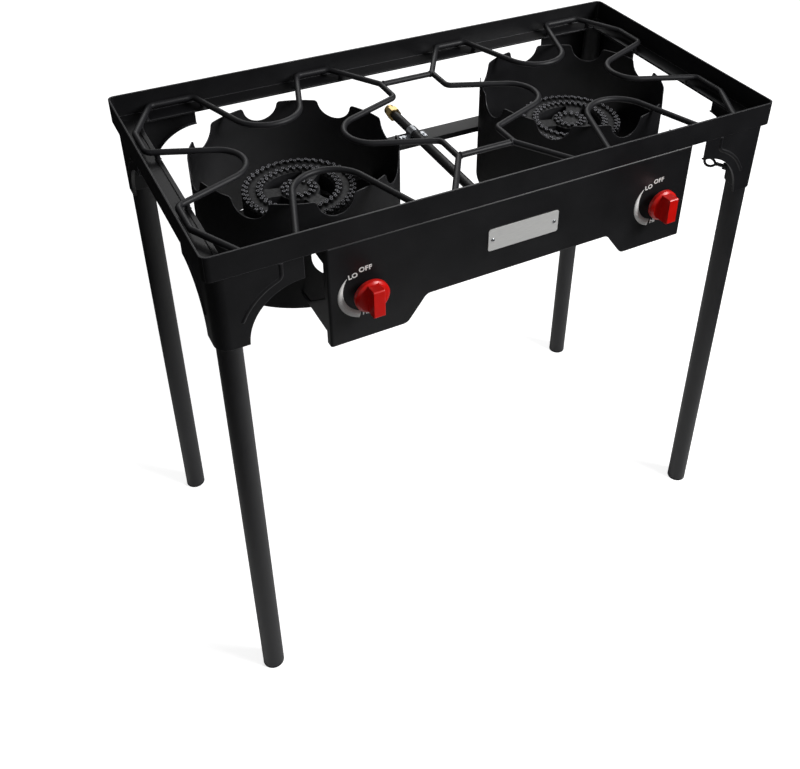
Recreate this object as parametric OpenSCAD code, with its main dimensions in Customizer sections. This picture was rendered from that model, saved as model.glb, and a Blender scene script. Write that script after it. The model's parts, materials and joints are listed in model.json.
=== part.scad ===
// Two-burner propane stand: an angle-iron rim on four clamped legs, with two
// welded pot grates, two sheet wind guards and the cast burners inside them.
// Millimetres, +Z up. The floor is z = 0. Left and right are as seen from the
// knobs, which face -Y.

/* [Rim] */
// outside length of the rim, left to right
rim_length = 781.05; // [765:1:840]
// outside depth of the rim, front to back
rim_depth = 400.05; // [392:1:430]
// height of the rim's top edge above the floor
rim_height = 723.9; // [560:1:900]
// height of the rim's upright wall
rim_wall = 31.75; // [26:0.25:38]
// width of the flange at the foot of the wall
rim_flange = 29.5; // [24:0.5:33]
// sheet thickness of the rim
rim_gauge = 2; // [1.5:0.1:3]
// radius of the rim's corners in plan
rim_corner = 9; // [6:1:12]
// length of the open slit where two flanges meet
mitre_slit = 14; // [8:1:18]

/* [Corner brackets] */
// length of each wing of a corner bracket
wing_length = 105; // [95:1:115]
// height of a corner bracket below the rim
bracket_height = 98.15; // [90:1:110]
// radius of the arch cut from each wing
arch_radius = 68; // [60:1:72]
// depth of the lip turned inward along the arch
arch_lip = 2.5; // [2:0.5:10]
// sheet thickness of brackets, panel and cross bar
sheet_gauge = 1.5; // [1.2:0.1:2]
// radius of the pressed bead that follows the arch
bead_path_radius = 81; // [77:1:84]

/* [Legs] */
// outside diameter of a leg tube
leg_d = 29.1; // [26:0.1:30]
// wall thickness of a leg tube
leg_wall = 1.5; // [1.2:0.1:2.5]
// lean of each leg toward the front or the back, in degrees
leg_splay = 0.6; // [0:0.1:1]
// thickness of the plug's sole under each tube
foot_sole = 3; // [2:0.5:6]
// diameter of the thumbscrew's shank
screw_d = 5.9; // [5:0.1:6.5]
// diameter of the thumbscrew's eye, to the middle of its wire
eye_d = 14.4; // [12:0.1:18]
// wire diameter of the thumbscrew's eye
eye_wire_d = 3; // [2.4:0.1:3.6]

/* [Pot grates] */
// diameter of the grate rod
rod_d = 8; // [7:0.1:9]
// height of the rod's underside above the rim flange
grate_lift = 5.85; // [4:0.05:8]
// distance from a grate's middle to the tips of its front and back fingers
front_finger_tip = 66.5; // [60:0.5:75]
// bend radius of the front and back fingers
front_finger_radius = 46; // [42:0.5:50]
// distance from a grate's middle to the tips of its side fingers
side_finger_tip = 67; // [60:0.5:75]
// bend radius of the side fingers
side_finger_radius = 39; // [36:0.5:42]
// bend radius of the grate's outer corners
grate_bend = 10; // [8:0.5:14]
// distance between the two grates, from rod to rod
grate_gap = 80.95; // [70:0.05:90]

/* [Wind guards and burners] */
// distance between the middles of the two burners
burner_spacing = 417; // [410:1:425]
// outside radius of a wind guard
guard_radius = 130.4; // [120:0.1:132]
// height of a wind guard
guard_height = 151; // [140:1:165]
// sheet thickness of a wind guard
guard_gauge = 1.2; // [0.9:0.1:2]
// radius of the scallops in the guard's top edge
scallop_radius = 23.5; // [19:0.5:25]
// radius of the rounding beside each scallop
scallop_lip = 5; // [2:0.5:6]
// outside radius of the burner's ring of ports
burner_radius = 72.5; // [68:0.5:76]
// inside radius of the burner's ring of ports
burner_inner_radius = 45; // [42:0.5:48]
// depth of the burner's top below the guard's top
burner_drop = 54; // [50:1:60]

/* [Control panel] */
// width of the control panel
panel_width = 513; // [500:1:530]
// height of the panel in front of each burner
panel_lobe_height = 138.65; // [132:1:145]
// height of the panel between the two lobes
panel_middle_height = 103.65; // [96:1:110]
// drop from the panel's top edge to the middle of each knob
knob_drop = 71.15; // [68:0.5:74]
// radius of a knob's disc
knob_radius = 21.4; // [18:0.2:24]
// distance from the panel's face to the front of a knob's grip
knob_reach = 32; // [28:0.5:36]
// length of the nameplate
nameplate_length = 100; // [80:1:120]
// height of the nameplate
nameplate_height = 31; // [24:1:40]

/* [Gas line] */
// outside diameter of the gas pipe and the manifold
pipe_d = 13.7; // [12:0.1:15]
// width of the cross bar that carries the gas pipe
bar_width = 29; // [24:1:34]
// distance from the rim's middle to the middle of the cross bar
bar_back = 95.5; // [90:0.5:100]

/* [Hidden] */
$fn = 64;
eps = 0.01;
hole_gap = 0.05;          // radial play of a bolt or pin in its hole
rest_gap = 0.3;           // play that is left between a leg and the rim
guard_rod_gap = 0.1;      // from a guard's top to the rods that cross it

// heights
rim_bottom = rim_height - rim_wall;
flange_top = rim_bottom + rim_gauge;
rod_r = rod_d / 2;
rod_z = flange_top + grate_lift + rod_r;
guard_top = rod_z - rod_r - guard_rod_gap;
guard_bottom = guard_top - guard_height;
burner_top = guard_top - burner_drop;
knob_z = rim_bottom - knob_drop;
bracket_bottom = rim_bottom - bracket_height;

// the rim
rim_x = rim_length / 2;
rim_y = rim_depth / 2;
slit_width = 1.2;
hem_width = 5;
hem_thick = 1.2;

// the corner brackets, drawn in the back right corner
bracket_inset_x = 2.525;  // from the rim's wall to the wing, at the sides
bracket_inset_y = 0.025;  // and at the front and the back
bracket_x = rim_x - rim_gauge - bracket_inset_x;
bracket_y = rim_y - rim_gauge - bracket_inset_y;
bracket_bend = 17;
wing_tip_x = bracket_x - wing_length;
wing_tip_y = bracket_y - wing_length;
bead_r = 3;
bead_height = 1.3;
bead_start = 25;
bead_turn = 67.5;
bead_small_radius = 8;
bead_line = (bead_path_radius + bead_small_radius) * cos(bead_turn) - bead_small_radius;
bead_turn_z = (bead_path_radius + bead_small_radius) * sin(bead_turn);
bead_end_gap = 2;         // from the bead's upper end to the rim
bead_top = bracket_height - bead_end_gap;

// the legs and what clamps them
leg_r = leg_d / 2;
leg_x = bracket_x - bracket_bend;
leg_y = bracket_y - bracket_bend;
clip_rise = 20;           // from the bracket's lower edge to the screw
clip_z = bracket_bottom + clip_rise;
clip_height = 28;
clip_play = 0.45;
clip_r = leg_r + clip_play;
clip_gauge = 2;
clip_hole_r = screw_d / 2 + rest_gap + hole_gap;
screw_heading = 240;      // from +X, toward the inside of the stand
nut_flats = 10;
nut_height = 5;
nut_seat_gap = 0.03;
nut_seat_r = clip_r + clip_gauge + nut_seat_gap;
nut_bore_r = screw_d / 2 + 2 * hole_gap;
shank_start = leg_r + rest_gap + hole_gap;
shank_end = 30;
neck_r = 2.2;
neck_length = 5.3;
eye_middle = shank_end + neck_length + eye_d / 2;
plug_stem = 22;

// the grates
burner_x = burner_spacing / 2;
burner_y = 10;
grate_y = 5;
grate_inset_x = 14;       // from the rim's outside to the rod, at the sides
grate_inset_y = 13;       // and at the front and the back
grate_outer = rim_x - grate_inset_x - burner_x;
grate_inner = burner_x - grate_gap / 2;
grate_front = rim_y - grate_inset_y;
front_flare = 18.5;
side_flare = 22;
outer_chamfer = [132, 118];    // where it leaves the front run, and the side run
inner_chamfer = [121, 112];
foot_r = 3;
link_y = 110;

// the guards
guard_inner = guard_radius - guard_gauge;
scallops = 8;
guard_hole_r = 34;
guard_hole_rise = 3;      // of the hole's middle above the mixer tube's
guard_hole_z = knob_z + guard_hole_rise;

// the burners
casting_shift = 4.5;      // of the casting toward the knobs
casting_y = burner_y - casting_shift;
nipple_height = 3.5;
nipple_pitch = 9.4;
nipple_r = 2.9;
nipple_tip_r = 2.3;
port_r = 0.9;
port_depth = 3;
ring_top = burner_top - nipple_height;
ring_depth = 25;
ring_bottom = ring_top - ring_depth;
ring_edge = 2.5;
inner_row_inset = 7;      // of each row from the edge beside it
outer_row_inset = 6;
hub_row_inset = 5;
inner_row_r = burner_inner_radius + inner_row_inset;
outer_row_r = burner_radius - outer_row_inset;
hub_r = 26;
hub_row_r = hub_r - hub_row_inset;
hub_step = 1;             // of the hub's top below the ring's
hub_depth = 35.5;
hub_top = ring_top - hub_step;
hub_bottom = hub_top - hub_depth;
arms = 3;
arm_heading = 168;        // of the first arm, from +X
arm_half = 10;
arm_flare = 14;
arm_depth = 16;
arm_flare_start = burner_inner_radius - 8;
arm_end = burner_inner_radius + ring_edge - 0.5;
boss_r = 11;
boss_length = 5;
strap_gauge = 3;
strap_width = 95;
strap_top = hub_bottom - boss_length;
bolt_r = 3;
bolt_flats = 10;
bolt_head = 4;
bolt_in_boss = 10;
bolt_play = 2;            // of the hole past the bolt's end
mixer_mouth = 146;        // from the burner's middle to the mouth's face
mouth_r = 21;
mouth_wall = 3;
mouth_lip = 12;           // length of the mouth's straight rim
mouth_flare = 24;         // from the mouth's face to the end of its flare
throat_r = 13;
throat_bore_r = 9.5;
throat_root_r = 15;
throat_taper = 40;        // from the hub's side to the end of the taper
bore_end = 4;             // of the mixer's bore, from the burner's middle
jet_tip_r = 4.9;
shutter_r = 20;
shutter_gauge = 1.2;
shutter_gap = 0.3;
tab_width = 8;            // of the shutter's finger tab
tab_reach = 6;
tab_root = 4;
window_inner_r = 8;
window_outer_r = 16;

// the control panel
panel_face = rim_y - 0.025;
panel_x = panel_width / 2;
panel_lobe_bottom = rim_bottom - panel_lobe_height;
panel_middle_bottom = rim_bottom - panel_middle_height;
lobe_inner = 158;
middle_end = 132;
panel_fillet = 11;
panel_bend = 3;
panel_top_flange = 20;
return_width = 11;
gusset_reach = 96;        // from the panel's face to the gusset's tip
top_ear_reach = 48;       // and to the end of the ear under the rim
gusset_drop = 121.5;      // of the gusset's lower edge below the rim
gusset_bottom = rim_bottom - gusset_drop;
gusset_height = 48;
gusset_tip = 4;
gusset_knee = 62;         // from the panel's face to the gusset's bend
top_ear_height = 24.65;
top_ear_bottom = rim_bottom - top_ear_height;
stem_r = 3;
bonnet_r = 6;
bonnet_play = 0.3;
bonnet_length = 8;
bonnet_proud = 4;         // of the panel's face
bonnet_nut_r = 9.2;
nut_seat = 3;
plate_gauge = 1;
plate_corner = 3;
plate_drop = 53.45;       // of the plate's middle below the rim
plate_z = rim_bottom - plate_drop;
rivet_r = 1.5;
rivet_head_r = 2.6;
rivet_neck_r = 1.82;
rivet_head = 0.9;
rivet_inset = 6;
rivet_x = nameplate_length / 2 - rivet_inset;

// the knobs
knob_standoff = 9.5;        // from the panel's face to the disc's back
disc_reach = 17;          // and to the disc's front
knob_back = panel_face + knob_standoff;
disc_front = panel_face + disc_reach;
knob_front = panel_face + knob_reach;
disc_edge = 3;
grip_width = 14;
grip_top = 19.5;
grip_bottom = 17.5;
grip_root_bottom = 17.8;
grip_edge = 1.5;
grip_sink = 1;            // of the grip into the disc
stem_in_knob = 10;
stem_reach = 24;          // of the stem behind the panel's face
stem_end = -panel_face + stem_reach;

// the gas line
pipe_r = pipe_d / 2;
bar_top = knob_z;
bar_flange = 8;
pipe_lift = 0.15;         // of the gas pipe above the cross bar
pipe_z = bar_top + pipe_r + pipe_lift;
pipe_back = 155;
pipe_wall = 2.2;
inlet_hex_r = 10.4;
inlet_hex_length = 11;
flare_r = 7.94;
flare_length = 9;
nose_length = 3;
nose_r = 5;
inlet_bore_r = 3;
fitting_length = inlet_hex_length + flare_length + nose_length;
manifold_reach = 22;      // of the manifold's axis behind the panel's face
valve_reach = 36;         // of the valve's back behind it
manifold_y = -panel_face + manifold_reach;
valve_back = -panel_face + valve_reach;
valve_r = 11;
socket_wall = 3;
socket_reach = valve_r + 8;
pipe_grip = 10;           // of the manifold in the valve's socket
jet_hex_r = 7.5;
jet_reach = 4;            // of the jet's tip into the mixer's mouth
clamp_width = 14;
clamp_gauge = 1.6;
clamp_ear = 11;
clamp_bolt_r = 2;
clamp_head_r = 3.6;
clamp_head = 2.4;
clamp_bolt_length = 4;

// The knobs reach further forward than anything reaches back, so the whole
// stand is moved back until its box is centred on the origin.
back_reach = max(rim_y, leg_y + clip_z * tan(leg_splay) + leg_r / cos(leg_splay));
origin_shift = (knob_front - back_reach) / 2;

// ---------------------------------------------------------------- helpers

// Everything drawn for the back right corner goes to another corner by mirrors.
module in_corner(side, end) {
    mirror([side < 0 ? 1 : 0, 0, 0]) mirror([0, end < 0 ? 1 : 0, 0]) children();
}

// Both burners and what belongs to them are the same parts, moved sideways.
module at_burner(side) translate([side * burner_x, burner_y, 0]) children();

module on_both_sides() for (side = [-1, 1]) translate([side * burner_x, 0, 0]) children();

// A cylinder along Y, from y = start to y = start + length.
module along_y(r, length, start = 0, r2 = undef) {
    translate([0, start, 0]) rotate([-90, 0, 0])
        cylinder(r1 = r, r2 = is_undef(r2) ? r : r2, h = length);
}

module along_x(r, length) rotate([0, 90, 0]) cylinder(r = r, h = length, center = true);

// A rectangle with round corners, centred.
module round_rect(length, width, r) {
    square([length - 2 * r, width], center = true);
    square([length, width - 2 * r], center = true);
    for (sx = [-1, 1], sy = [-1, 1])
        translate([sx * (length / 2 - r), sy * (width / 2 - r)]) circle(r = r);
}

// Points of a round corner at point b of the path a, b, c.
function unit(v) = v / norm(v);
function round_corner(a, b, c, r, steps = 8) =
    let (u = unit(a - b), v = unit(c - b), half = acos(u * v) / 2,
         middle = b + unit(u + v) * r / sin(half), p = b + u * r / tan(half),
         start = atan2(p[1] - middle[1], p[0] - middle[0]),
         side = u[0] * v[1] - u[1] * v[0] > 0 ? 1 : -1, sweep = 180 - 2 * half)
    [for (i = [0:steps]) let (t = start + side * sweep * i / steps * -1)
        middle + r * [cos(t), sin(t)]];

// ---------------------------------------------------------------- rim

module rim_ring() {
    translate([0, 0, rim_bottom]) {
        linear_extrude(rim_wall) difference() {
            round_rect(rim_length, rim_depth, rim_corner);
            round_rect(rim_length - 2 * rim_gauge, rim_depth - 2 * rim_gauge,
                       rim_corner - rim_gauge);
        }
        linear_extrude(rim_gauge) difference() {
            round_rect(rim_length, rim_depth, rim_corner);
            square([rim_length - 2 * rim_flange, rim_depth - 2 * rim_flange], center = true);
        }
    }
}

// The part of the ring that belongs to one rail, cut at 45 degrees.
module mitre_wedge(half_length, half_depth) {
    translate([0, 0, rim_bottom - 1]) linear_extrude(rim_wall + 2)
        polygon([[-half_length, half_depth], [half_length, half_depth],
                 [half_length - half_depth, 0], [-half_length + half_depth, 0]]);
}

// The slit that stays open between two flanges, from the inner corner outward.
module mitre_slits() {
    for (side = [-1, 1], end = [-1, 1]) in_corner(side, end)
        translate([rim_x - rim_flange, rim_y - rim_flange, rim_bottom - 1]) rotate(45)
            translate([-slit_width, -slit_width / 2, 0])
                cube([mitre_slit + slit_width, slit_width, rim_gauge + 2]);
}

module long_rail(end) color("#1b1b1c") {
    difference() {
        intersection() {
            rim_ring();
            in_corner(1, end) mitre_wedge(rim_x, rim_y);
        }
        mitre_slits();
    }
}

// A side rail's flange is doubled by a narrow hem along its inner edge.
module side_rail(side) color("#1b1b1c") {
    hem_half = rim_y - rim_flange - mitre_slit;
    difference() {
        intersection() {
            rim_ring();
            in_corner(side, 1) rotate(-90)
                translate([0, rim_x - rim_y, 0]) mitre_wedge(rim_y, rim_y);
        }
        mitre_slits();
    }
    in_corner(side, 1) translate([rim_x - rim_flange, -hem_half, flange_top - eps])
        cube([hem_width, 2 * hem_half, hem_thick + eps]);
}

// ---------------------------------------------------------------- corners

// Plan of the bracket's outer face, moved in by `inset`.
module corner_plan(inset) {
    bend = bracket_bend - inset;
    square([bracket_x - inset - bend, bracket_y - inset]);
    square([bracket_x - inset, bracket_y - inset - bend]);
    translate([bracket_x - inset - bend, bracket_y - inset - bend]) circle(r = bend);
}

// What belongs to the back wing, drawn with the wing's face in the XY plane:
// x runs outward from the wing's tip, y up from the bracket's lower edge.
module on_back_wing() translate([wing_tip_x, bracket_y, bracket_bottom]) rotate([90, 0, 0]) children();
module on_side_wing() {
    translate([bracket_x, wing_tip_y, bracket_bottom]) rotate([90, 0, 90]) mirror([0, 0, 1]) children();
}

module arch_cut() translate([0, 0, -1]) cylinder(r = arch_radius, h = arch_lip + 10);

// The lip that stiffens the arch, turned inward from the sheet.
module arch_flange() {
    linear_extrude(sheet_gauge + arch_lip) intersection() {
        difference() {
            circle(r = arch_radius + sheet_gauge);
            circle(r = arch_radius);
        }
        square(arch_radius + 2 * sheet_gauge);
    }
}

// The pressed bead: it follows the arch, then turns up to the rim.
module arch_bead() {
    intersection() {
        translate([0, 0, bead_r - bead_height]) {
            rotate(bead_start) rotate_extrude(angle = bead_turn - bead_start)
                translate([bead_path_radius, 0]) circle(r = bead_r, $fn = 24);
            rotate(bead_start) translate([bead_path_radius, 0, 0]) sphere(r = bead_r, $fn = 24);
            translate([bead_line + bead_small_radius, bead_turn_z, 0])
                rotate(180) rotate_extrude(angle = bead_turn)
                    translate([bead_small_radius, 0]) circle(r = bead_r, $fn = 24);
            translate([bead_line, bead_turn_z, 0]) rotate([-90, 0, 0])
                cylinder(r = bead_r, h = bead_top - bead_turn_z, $fn = 24);
        }
        translate([0, 0, -2 * bead_r]) cube([2 * wing_length, bracket_height, 2 * bead_r + 0.5]);
    }
}

module corner_bracket(side, end) color("#1c1c1d") in_corner(side, end) {
    difference() {
        union() {
            translate([0, 0, bracket_bottom]) linear_extrude(bracket_height) intersection() {
                difference() {
                    corner_plan(0);
                    corner_plan(sheet_gauge);
                }
                translate([wing_tip_x, wing_tip_y]) square(wing_length + 1);
            }
            on_back_wing() arch_bead();
            on_side_wing() arch_bead();
        }
        on_back_wing() arch_cut();
        on_side_wing() arch_cut();
    }
    on_back_wing() arch_flange();
    on_side_wing() arch_flange();
}

// The strap that holds a leg in the bend of its bracket.
module clip_plan() {
    outer = clip_r + clip_gauge;
    difference() {
        union() {
            circle(r = outer);
            translate([-outer, 0]) square([clip_gauge, bracket_bend - sheet_gauge]);
            translate([0, -outer]) square([bracket_bend - sheet_gauge, clip_gauge]);
        }
        circle(r = clip_r);
        translate([-clip_r, 0]) square(2 * outer);
        translate([0, -clip_r]) square(2 * outer);
    }
}

// A part on the thumbscrew's axis, drawn along +X from the leg's middle.
module on_screw_axis() translate([leg_x, leg_y, clip_z]) rotate(screw_heading) children();

module leg_clip(side, end) color("#1c1c1d") in_corner(side, end) difference() {
    translate([leg_x, leg_y, clip_z - clip_height / 2]) linear_extrude(clip_height) clip_plan();
    on_screw_axis() rotate([0, 90, 0]) cylinder(r = clip_hole_r, h = 3 * clip_r);
}

module weld_nuts() color("#232324") for (side = [-1, 1], end = [-1, 1]) in_corner(side, end)
    difference() {
        on_screw_axis() rotate([0, 90, 0])
            cylinder(r = nut_flats / 2 / cos(30), h = nut_seat_r + nut_height, $fn = 6);
        on_screw_axis() cylinder(r = nut_seat_r, h = 4 * nut_flats, center = true);
        on_screw_axis() rotate([0, 90, 0]) cylinder(r = nut_bore_r, h = 4 * clip_r);
    }

module thumbscrew(side, end) color("#3a3a3c") in_corner(side, end) on_screw_axis() {
    translate([shank_start, 0, 0]) rotate([0, 90, 0])
        cylinder(r = screw_d / 2, h = shank_end - shank_start);
    translate([shank_end - eps, 0, 0]) rotate([0, 90, 0])
        cylinder(r = neck_r, h = eye_middle - eye_d / 2 - shank_end + eps);
    translate([eye_middle, 0, 0]) rotate([90, 0, 0])
        rotate_extrude() translate([eye_d / 2, 0]) circle(r = eye_wire_d / 2, $fn = 24);
}

// ---------------------------------------------------------------- legs

// Legs lean about the thumbscrew's height, where they sit in the clip's middle.
module on_leg_axis() translate([leg_x, leg_y, clip_z]) rotate([leg_splay, 0, 0]) children();

module between(low, high) translate([0, 0, low]) linear_extrude(high - low) square([4 * rim_x, 4 * rim_y], center = true);

module leg(side, end) color("#2a2a2c") in_corner(side, end) intersection() {
    on_leg_axis() translate([0, 0, -clip_z - 20]) difference() {
        cylinder(r = leg_r, h = rim_height + 40);
        translate([0, 0, -1]) cylinder(r = leg_r - leg_wall, h = rim_height + 42);
    }
    between(foot_sole, rim_bottom - rest_gap);
}

module foot_plug(side, end) color("#222224") in_corner(side, end) {
    intersection() {
        on_leg_axis() translate([0, 0, -clip_z - 20]) cylinder(r = leg_r, h = rim_height);
        between(0, foot_sole);
    }
    intersection() {
        on_leg_axis() translate([0, 0, -clip_z - 20])
            cylinder(r = leg_r - leg_wall - hole_gap, h = rim_height);
        between(foot_sole - eps, foot_sole + plug_stem);
    }
}

// ---------------------------------------------------------------- grates

// One grate is a closed loop of rod: four fingers point at the burner, and the
// outer bends rest on the rim. It is made of two bent rods, a front and a back
// one, that are butt-welded at the tips of the side fingers. Each corner is
// [x, y, bend radius], drawn for the back rod of the right grate, whose outer
// side is at +X.
function front_half(y) = front_finger_radius / cos(front_flare)
    + (y - front_finger_tip - front_finger_radius) * tan(front_flare);
function side_half(x) = side_finger_radius / cos(side_flare)
    + (x - side_finger_tip - side_finger_radius) * tan(side_flare);
front_apex = front_finger_tip + front_finger_radius - front_finger_radius / sin(front_flare);
side_apex = side_finger_tip + side_finger_radius - side_finger_radius / sin(side_flare);

function grate_quarter(reach, chamfer) = [
    [reach, side_half(reach), grate_bend],
    [reach, chamfer[1], grate_bend],
    [chamfer[0], grate_front, grate_bend],
    [front_half(grate_front), grate_front, grate_bend]
];
function mirrored(corners) = [for (c = corners) [-c[0], c[1], c[2]]];
function backward(list) = [for (i = [len(list) - 1:-1:0]) list[i]];
outer_tip = [side_apex, 0, side_finger_radius];
inner_tip = [-side_apex, 0, side_finger_radius];
back_rod = concat(
    [outer_tip], grate_quarter(grate_outer, outer_chamfer), [[0, front_apex, front_finger_radius]],
    backward(mirrored(grate_quarter(grate_inner, inner_chamfer))), [inner_tip]
);

// A rod in the XY plane: straight runs and true bends. The runs are a hair
// thinner than the bends, as rod drawn round a former is. The rod starts and
// ends halfway round its first and its last bend, where it runs along Y.
module bent_rod(path, r) {
    last = len(path) - 1;
    for (i = [0:last]) {
        b = [path[i][0], path[i][1]];
        a = i > 0 ? [path[i - 1][0], path[i - 1][1]] : [path[1][0], -path[1][1]];
        c = i < last ? [path[i + 1][0], path[i + 1][1]] : [path[i - 1][0], -path[i - 1][1]];
        bend = path[i][2];
        into = unit(b - a);
        out = unit(c - b);
        turn = atan2(into[0] * out[1] - into[1] * out[0], into * out);
        set_back = bend * tan(abs(turn) / 2);
        start = b - into * set_back;
        middle = start + sign(turn) * bend * [-into[1], into[0]];
        heading = atan2(start[1] - middle[1], start[0] - middle[0]);
        from = heading + (i == 0 ? turn / 2 : 0);
        arc = i == 0 || i == last ? turn / 2 : turn;
        translate([middle[0], middle[1], 0]) rotate(min(from, from + arc))
            rotate_extrude(angle = abs(arc)) translate([bend, 0]) circle(r = r, $fn = 24);
        if (i < last) {
            after = i + 1 < last ? [path[i + 2][0], path[i + 2][1]] : [path[i][0], -path[i][1]];
            next_back = path[i + 1][2] * tan(acos(out * unit(after - c)) / 2);
            foot = b + out * (set_back - eps);
            translate([foot[0], foot[1], 0]) rotate(atan2(out[1], out[0])) rotate([0, 90, 0])
                cylinder(r = r - 2 * eps, h = norm(c - b) - set_back - next_back + 2 * eps, $fn = 24);
        }
    }
}

// Feet: short pins on the flange, close to its inner edge, under each rod that
// crosses it. `reach` is the grate's half length on that side.
foot_y = rim_y - rim_flange + foot_r;
foot_x = rim_x - rim_flange + foot_r - burner_x;
function chamfer_x(y, reach, chamfer) = chamfer[0]
    + (grate_front - y) * (reach - chamfer[0]) / (grate_front - chamfer[1]);
module grate_foot(x, y, seat) translate([x, y, seat - rod_z]) cylinder(r = foot_r, h = rod_z - seat);
module grate_feet(end) {
    y = foot_y - end * grate_y;
    outer_x = chamfer_x(y, grate_outer, outer_chamfer);
    inner_x = chamfer_x(y, grate_inner, inner_chamfer);
    for (x = [front_half(y), outer_x, -front_half(y), -inner_x]) grate_foot(x, y, flange_top);
    grate_foot(foot_x, side_half(foot_x), flange_top + hem_thick);
}

module pot_grate(side, end) color("#202022") translate([side * burner_x, grate_y, rod_z])
    mirror([side < 0 ? 1 : 0, 0, 0]) mirror([0, end < 0 ? 1 : 0, 0]) {
        bent_rod(back_rod, rod_r);
        grate_feet(end);
    }

// Two short rods tie the grates together over the gas pipe.
module grate_links() color("#202022") for (end = [-1, 1])
    translate([0, grate_y + end * link_y, rod_z]) difference() {
        along_x(rod_r, grate_gap);
        for (side = [-1, 1]) translate([side * grate_gap / 2, 0, 0])
            along_y(rod_r, 4 * rod_d, -2 * rod_d);
    }

// ---------------------------------------------------------------- guards

// Side view of one scallop: a round bite whose corners are rounded over.
lip_x = sqrt(scallop_radius * scallop_radius + 2 * scallop_radius * scallop_lip);
lip_angle = asin(scallop_lip / (scallop_radius + scallop_lip));
lip_steps = 5;
bite_steps = 24;
module scallop_bite() {
    right = [for (i = [0:lip_steps]) let (t = 90 + i * (90 - lip_angle) / lip_steps)
        [lip_x + scallop_lip * cos(t), -scallop_lip + scallop_lip * sin(t)]];
    bite = [for (i = [1:bite_steps - 1])
        let (t = -lip_angle - i * (180 - 2 * lip_angle) / bite_steps)
        scallop_radius * [cos(t), sin(t)]];
    polygon(concat([[lip_x, scallop_lip]], right, bite,
                   [for (p = backward(right)) [-p[0], p[1]]], [[-lip_x, scallop_lip]]));
}

module wind_guard(side) color("#1d1d1e") at_burner(side) difference() {
    translate([0, 0, guard_bottom]) linear_extrude(guard_height, $fn = 96) difference() {
        circle(r = guard_radius);
        circle(r = guard_inner);
    }
    for (i = [0:scallops / 2 - 1]) translate([0, 0, guard_top]) rotate(i * 360 / scallops)
        rotate([90, 0, 0]) linear_extrude(3 * guard_radius, center = true) scallop_bite();
    translate([0, 0, guard_hole_z]) along_y(guard_hole_r, guard_radius + 10, -guard_radius - 10);
}

// ---------------------------------------------------------------- burners

module at_casting(side) translate([side * burner_x, casting_y, 0]) children();

module ring_section() {
    polygon([[burner_inner_radius, ring_bottom], [burner_radius, ring_bottom],
             [burner_radius, ring_top - ring_edge], [burner_radius - ring_edge, ring_top],
             [burner_inner_radius + ring_edge, ring_top], [burner_inner_radius, ring_top - ring_edge]]);
}

// A row of raised ports: each is a cone with a fine hole down its middle.
module port_row(radius, seat) {
    count = round(2 * PI * radius / nipple_pitch);
    for (i = [0:count - 1]) rotate(i * 360 / count) translate([radius, 0, seat]) children();
}
module nipple() translate([0, 0, -eps])
    cylinder(r1 = nipple_r, r2 = nipple_tip_r, h = nipple_height + eps, $fn = 16);
module port() translate([0, 0, nipple_height - port_depth])
    cylinder(r = port_r, h = 2 * port_depth, $fn = 16);
module all_rows(index) {
    port_row(inner_row_r, ring_top) { if (index == 0) nipple(); else port(); }
    port_row(outer_row_r, ring_top) { if (index == 0) nipple(); else port(); }
    port_row(hub_row_r, hub_top) { if (index == 0) nipple(); else port(); }
}

// Hollow arms carry the gas from the hub to the ring, and widen toward it.
module casting_arms() {
    for (i = [0:arms - 1]) rotate(arm_heading + i * 360 / arms)
        translate([0, 0, hub_top - arm_depth]) linear_extrude(arm_depth)
            polygon([[0, -arm_half], [arm_flare_start, -arm_half], [arm_end, -arm_flare],
                     [arm_end, arm_flare], [arm_flare_start, arm_half], [0, arm_half]]);
}

// Half outline of the mixer tube, turned about Y: x is the radius and y the
// distance forward from the burner's middle.
module mixer_outline() {
    polygon([[0, 0], [throat_root_r, 0], [throat_root_r, hub_r], [throat_r, hub_r + throat_taper],
             [throat_r, mixer_mouth - mouth_flare], [mouth_r, mixer_mouth - mouth_lip],
             [mouth_r, mixer_mouth], [0, mixer_mouth]]);
}
module mixer_bore() {
    bore_r = mouth_r - mouth_wall;
    face = mixer_mouth - mouth_wall;
    polygon([[0, bore_end], [throat_bore_r, bore_end], [throat_bore_r, mixer_mouth - mouth_flare],
             [bore_r, mixer_mouth - mouth_lip + 1], [bore_r, face], [0, face]]);
}
module forward_revolve() translate([0, 0, knob_z]) rotate([90, 0, 0]) rotate_extrude() children();

// Two opposite windows, each a quarter of a ring, for the air.
module air_windows() {
    difference() {
        circle(r = window_outer_r);
        circle(r = window_inner_r);
        for (turn = [0, 180]) rotate(turn)
            polygon([[0, 0], [mouth_r, mouth_r], [0, 2 * mouth_r], [-mouth_r, mouth_r]]);
    }
}

module burner_casting(side) color("#2b2b2d") at_casting(side) {
    difference() {
        union() {
            rotate_extrude() ring_section();
            all_rows(0);
            translate([0, 0, hub_bottom]) cylinder(r = hub_r, h = hub_top - hub_bottom);
            casting_arms();
            translate([0, 0, strap_top]) cylinder(r = boss_r, h = hub_bottom - strap_top + eps);
            forward_revolve() mixer_outline();
        }
        all_rows(1);
        forward_revolve() mixer_bore();
        translate([0, -mixer_mouth - mouth_wall, knob_z]) along_y(jet_tip_r + rest_gap, 3 * mouth_wall);
        translate([0, -mixer_mouth + 2 * mouth_wall, knob_z]) rotate([90, 0, 0])
            linear_extrude(3 * mouth_wall) air_windows();
        translate([0, 0, strap_top - boss_length])
            cylinder(r = bolt_r + hole_gap, h = boss_length + bolt_in_boss + bolt_play);
    }
}

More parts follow.
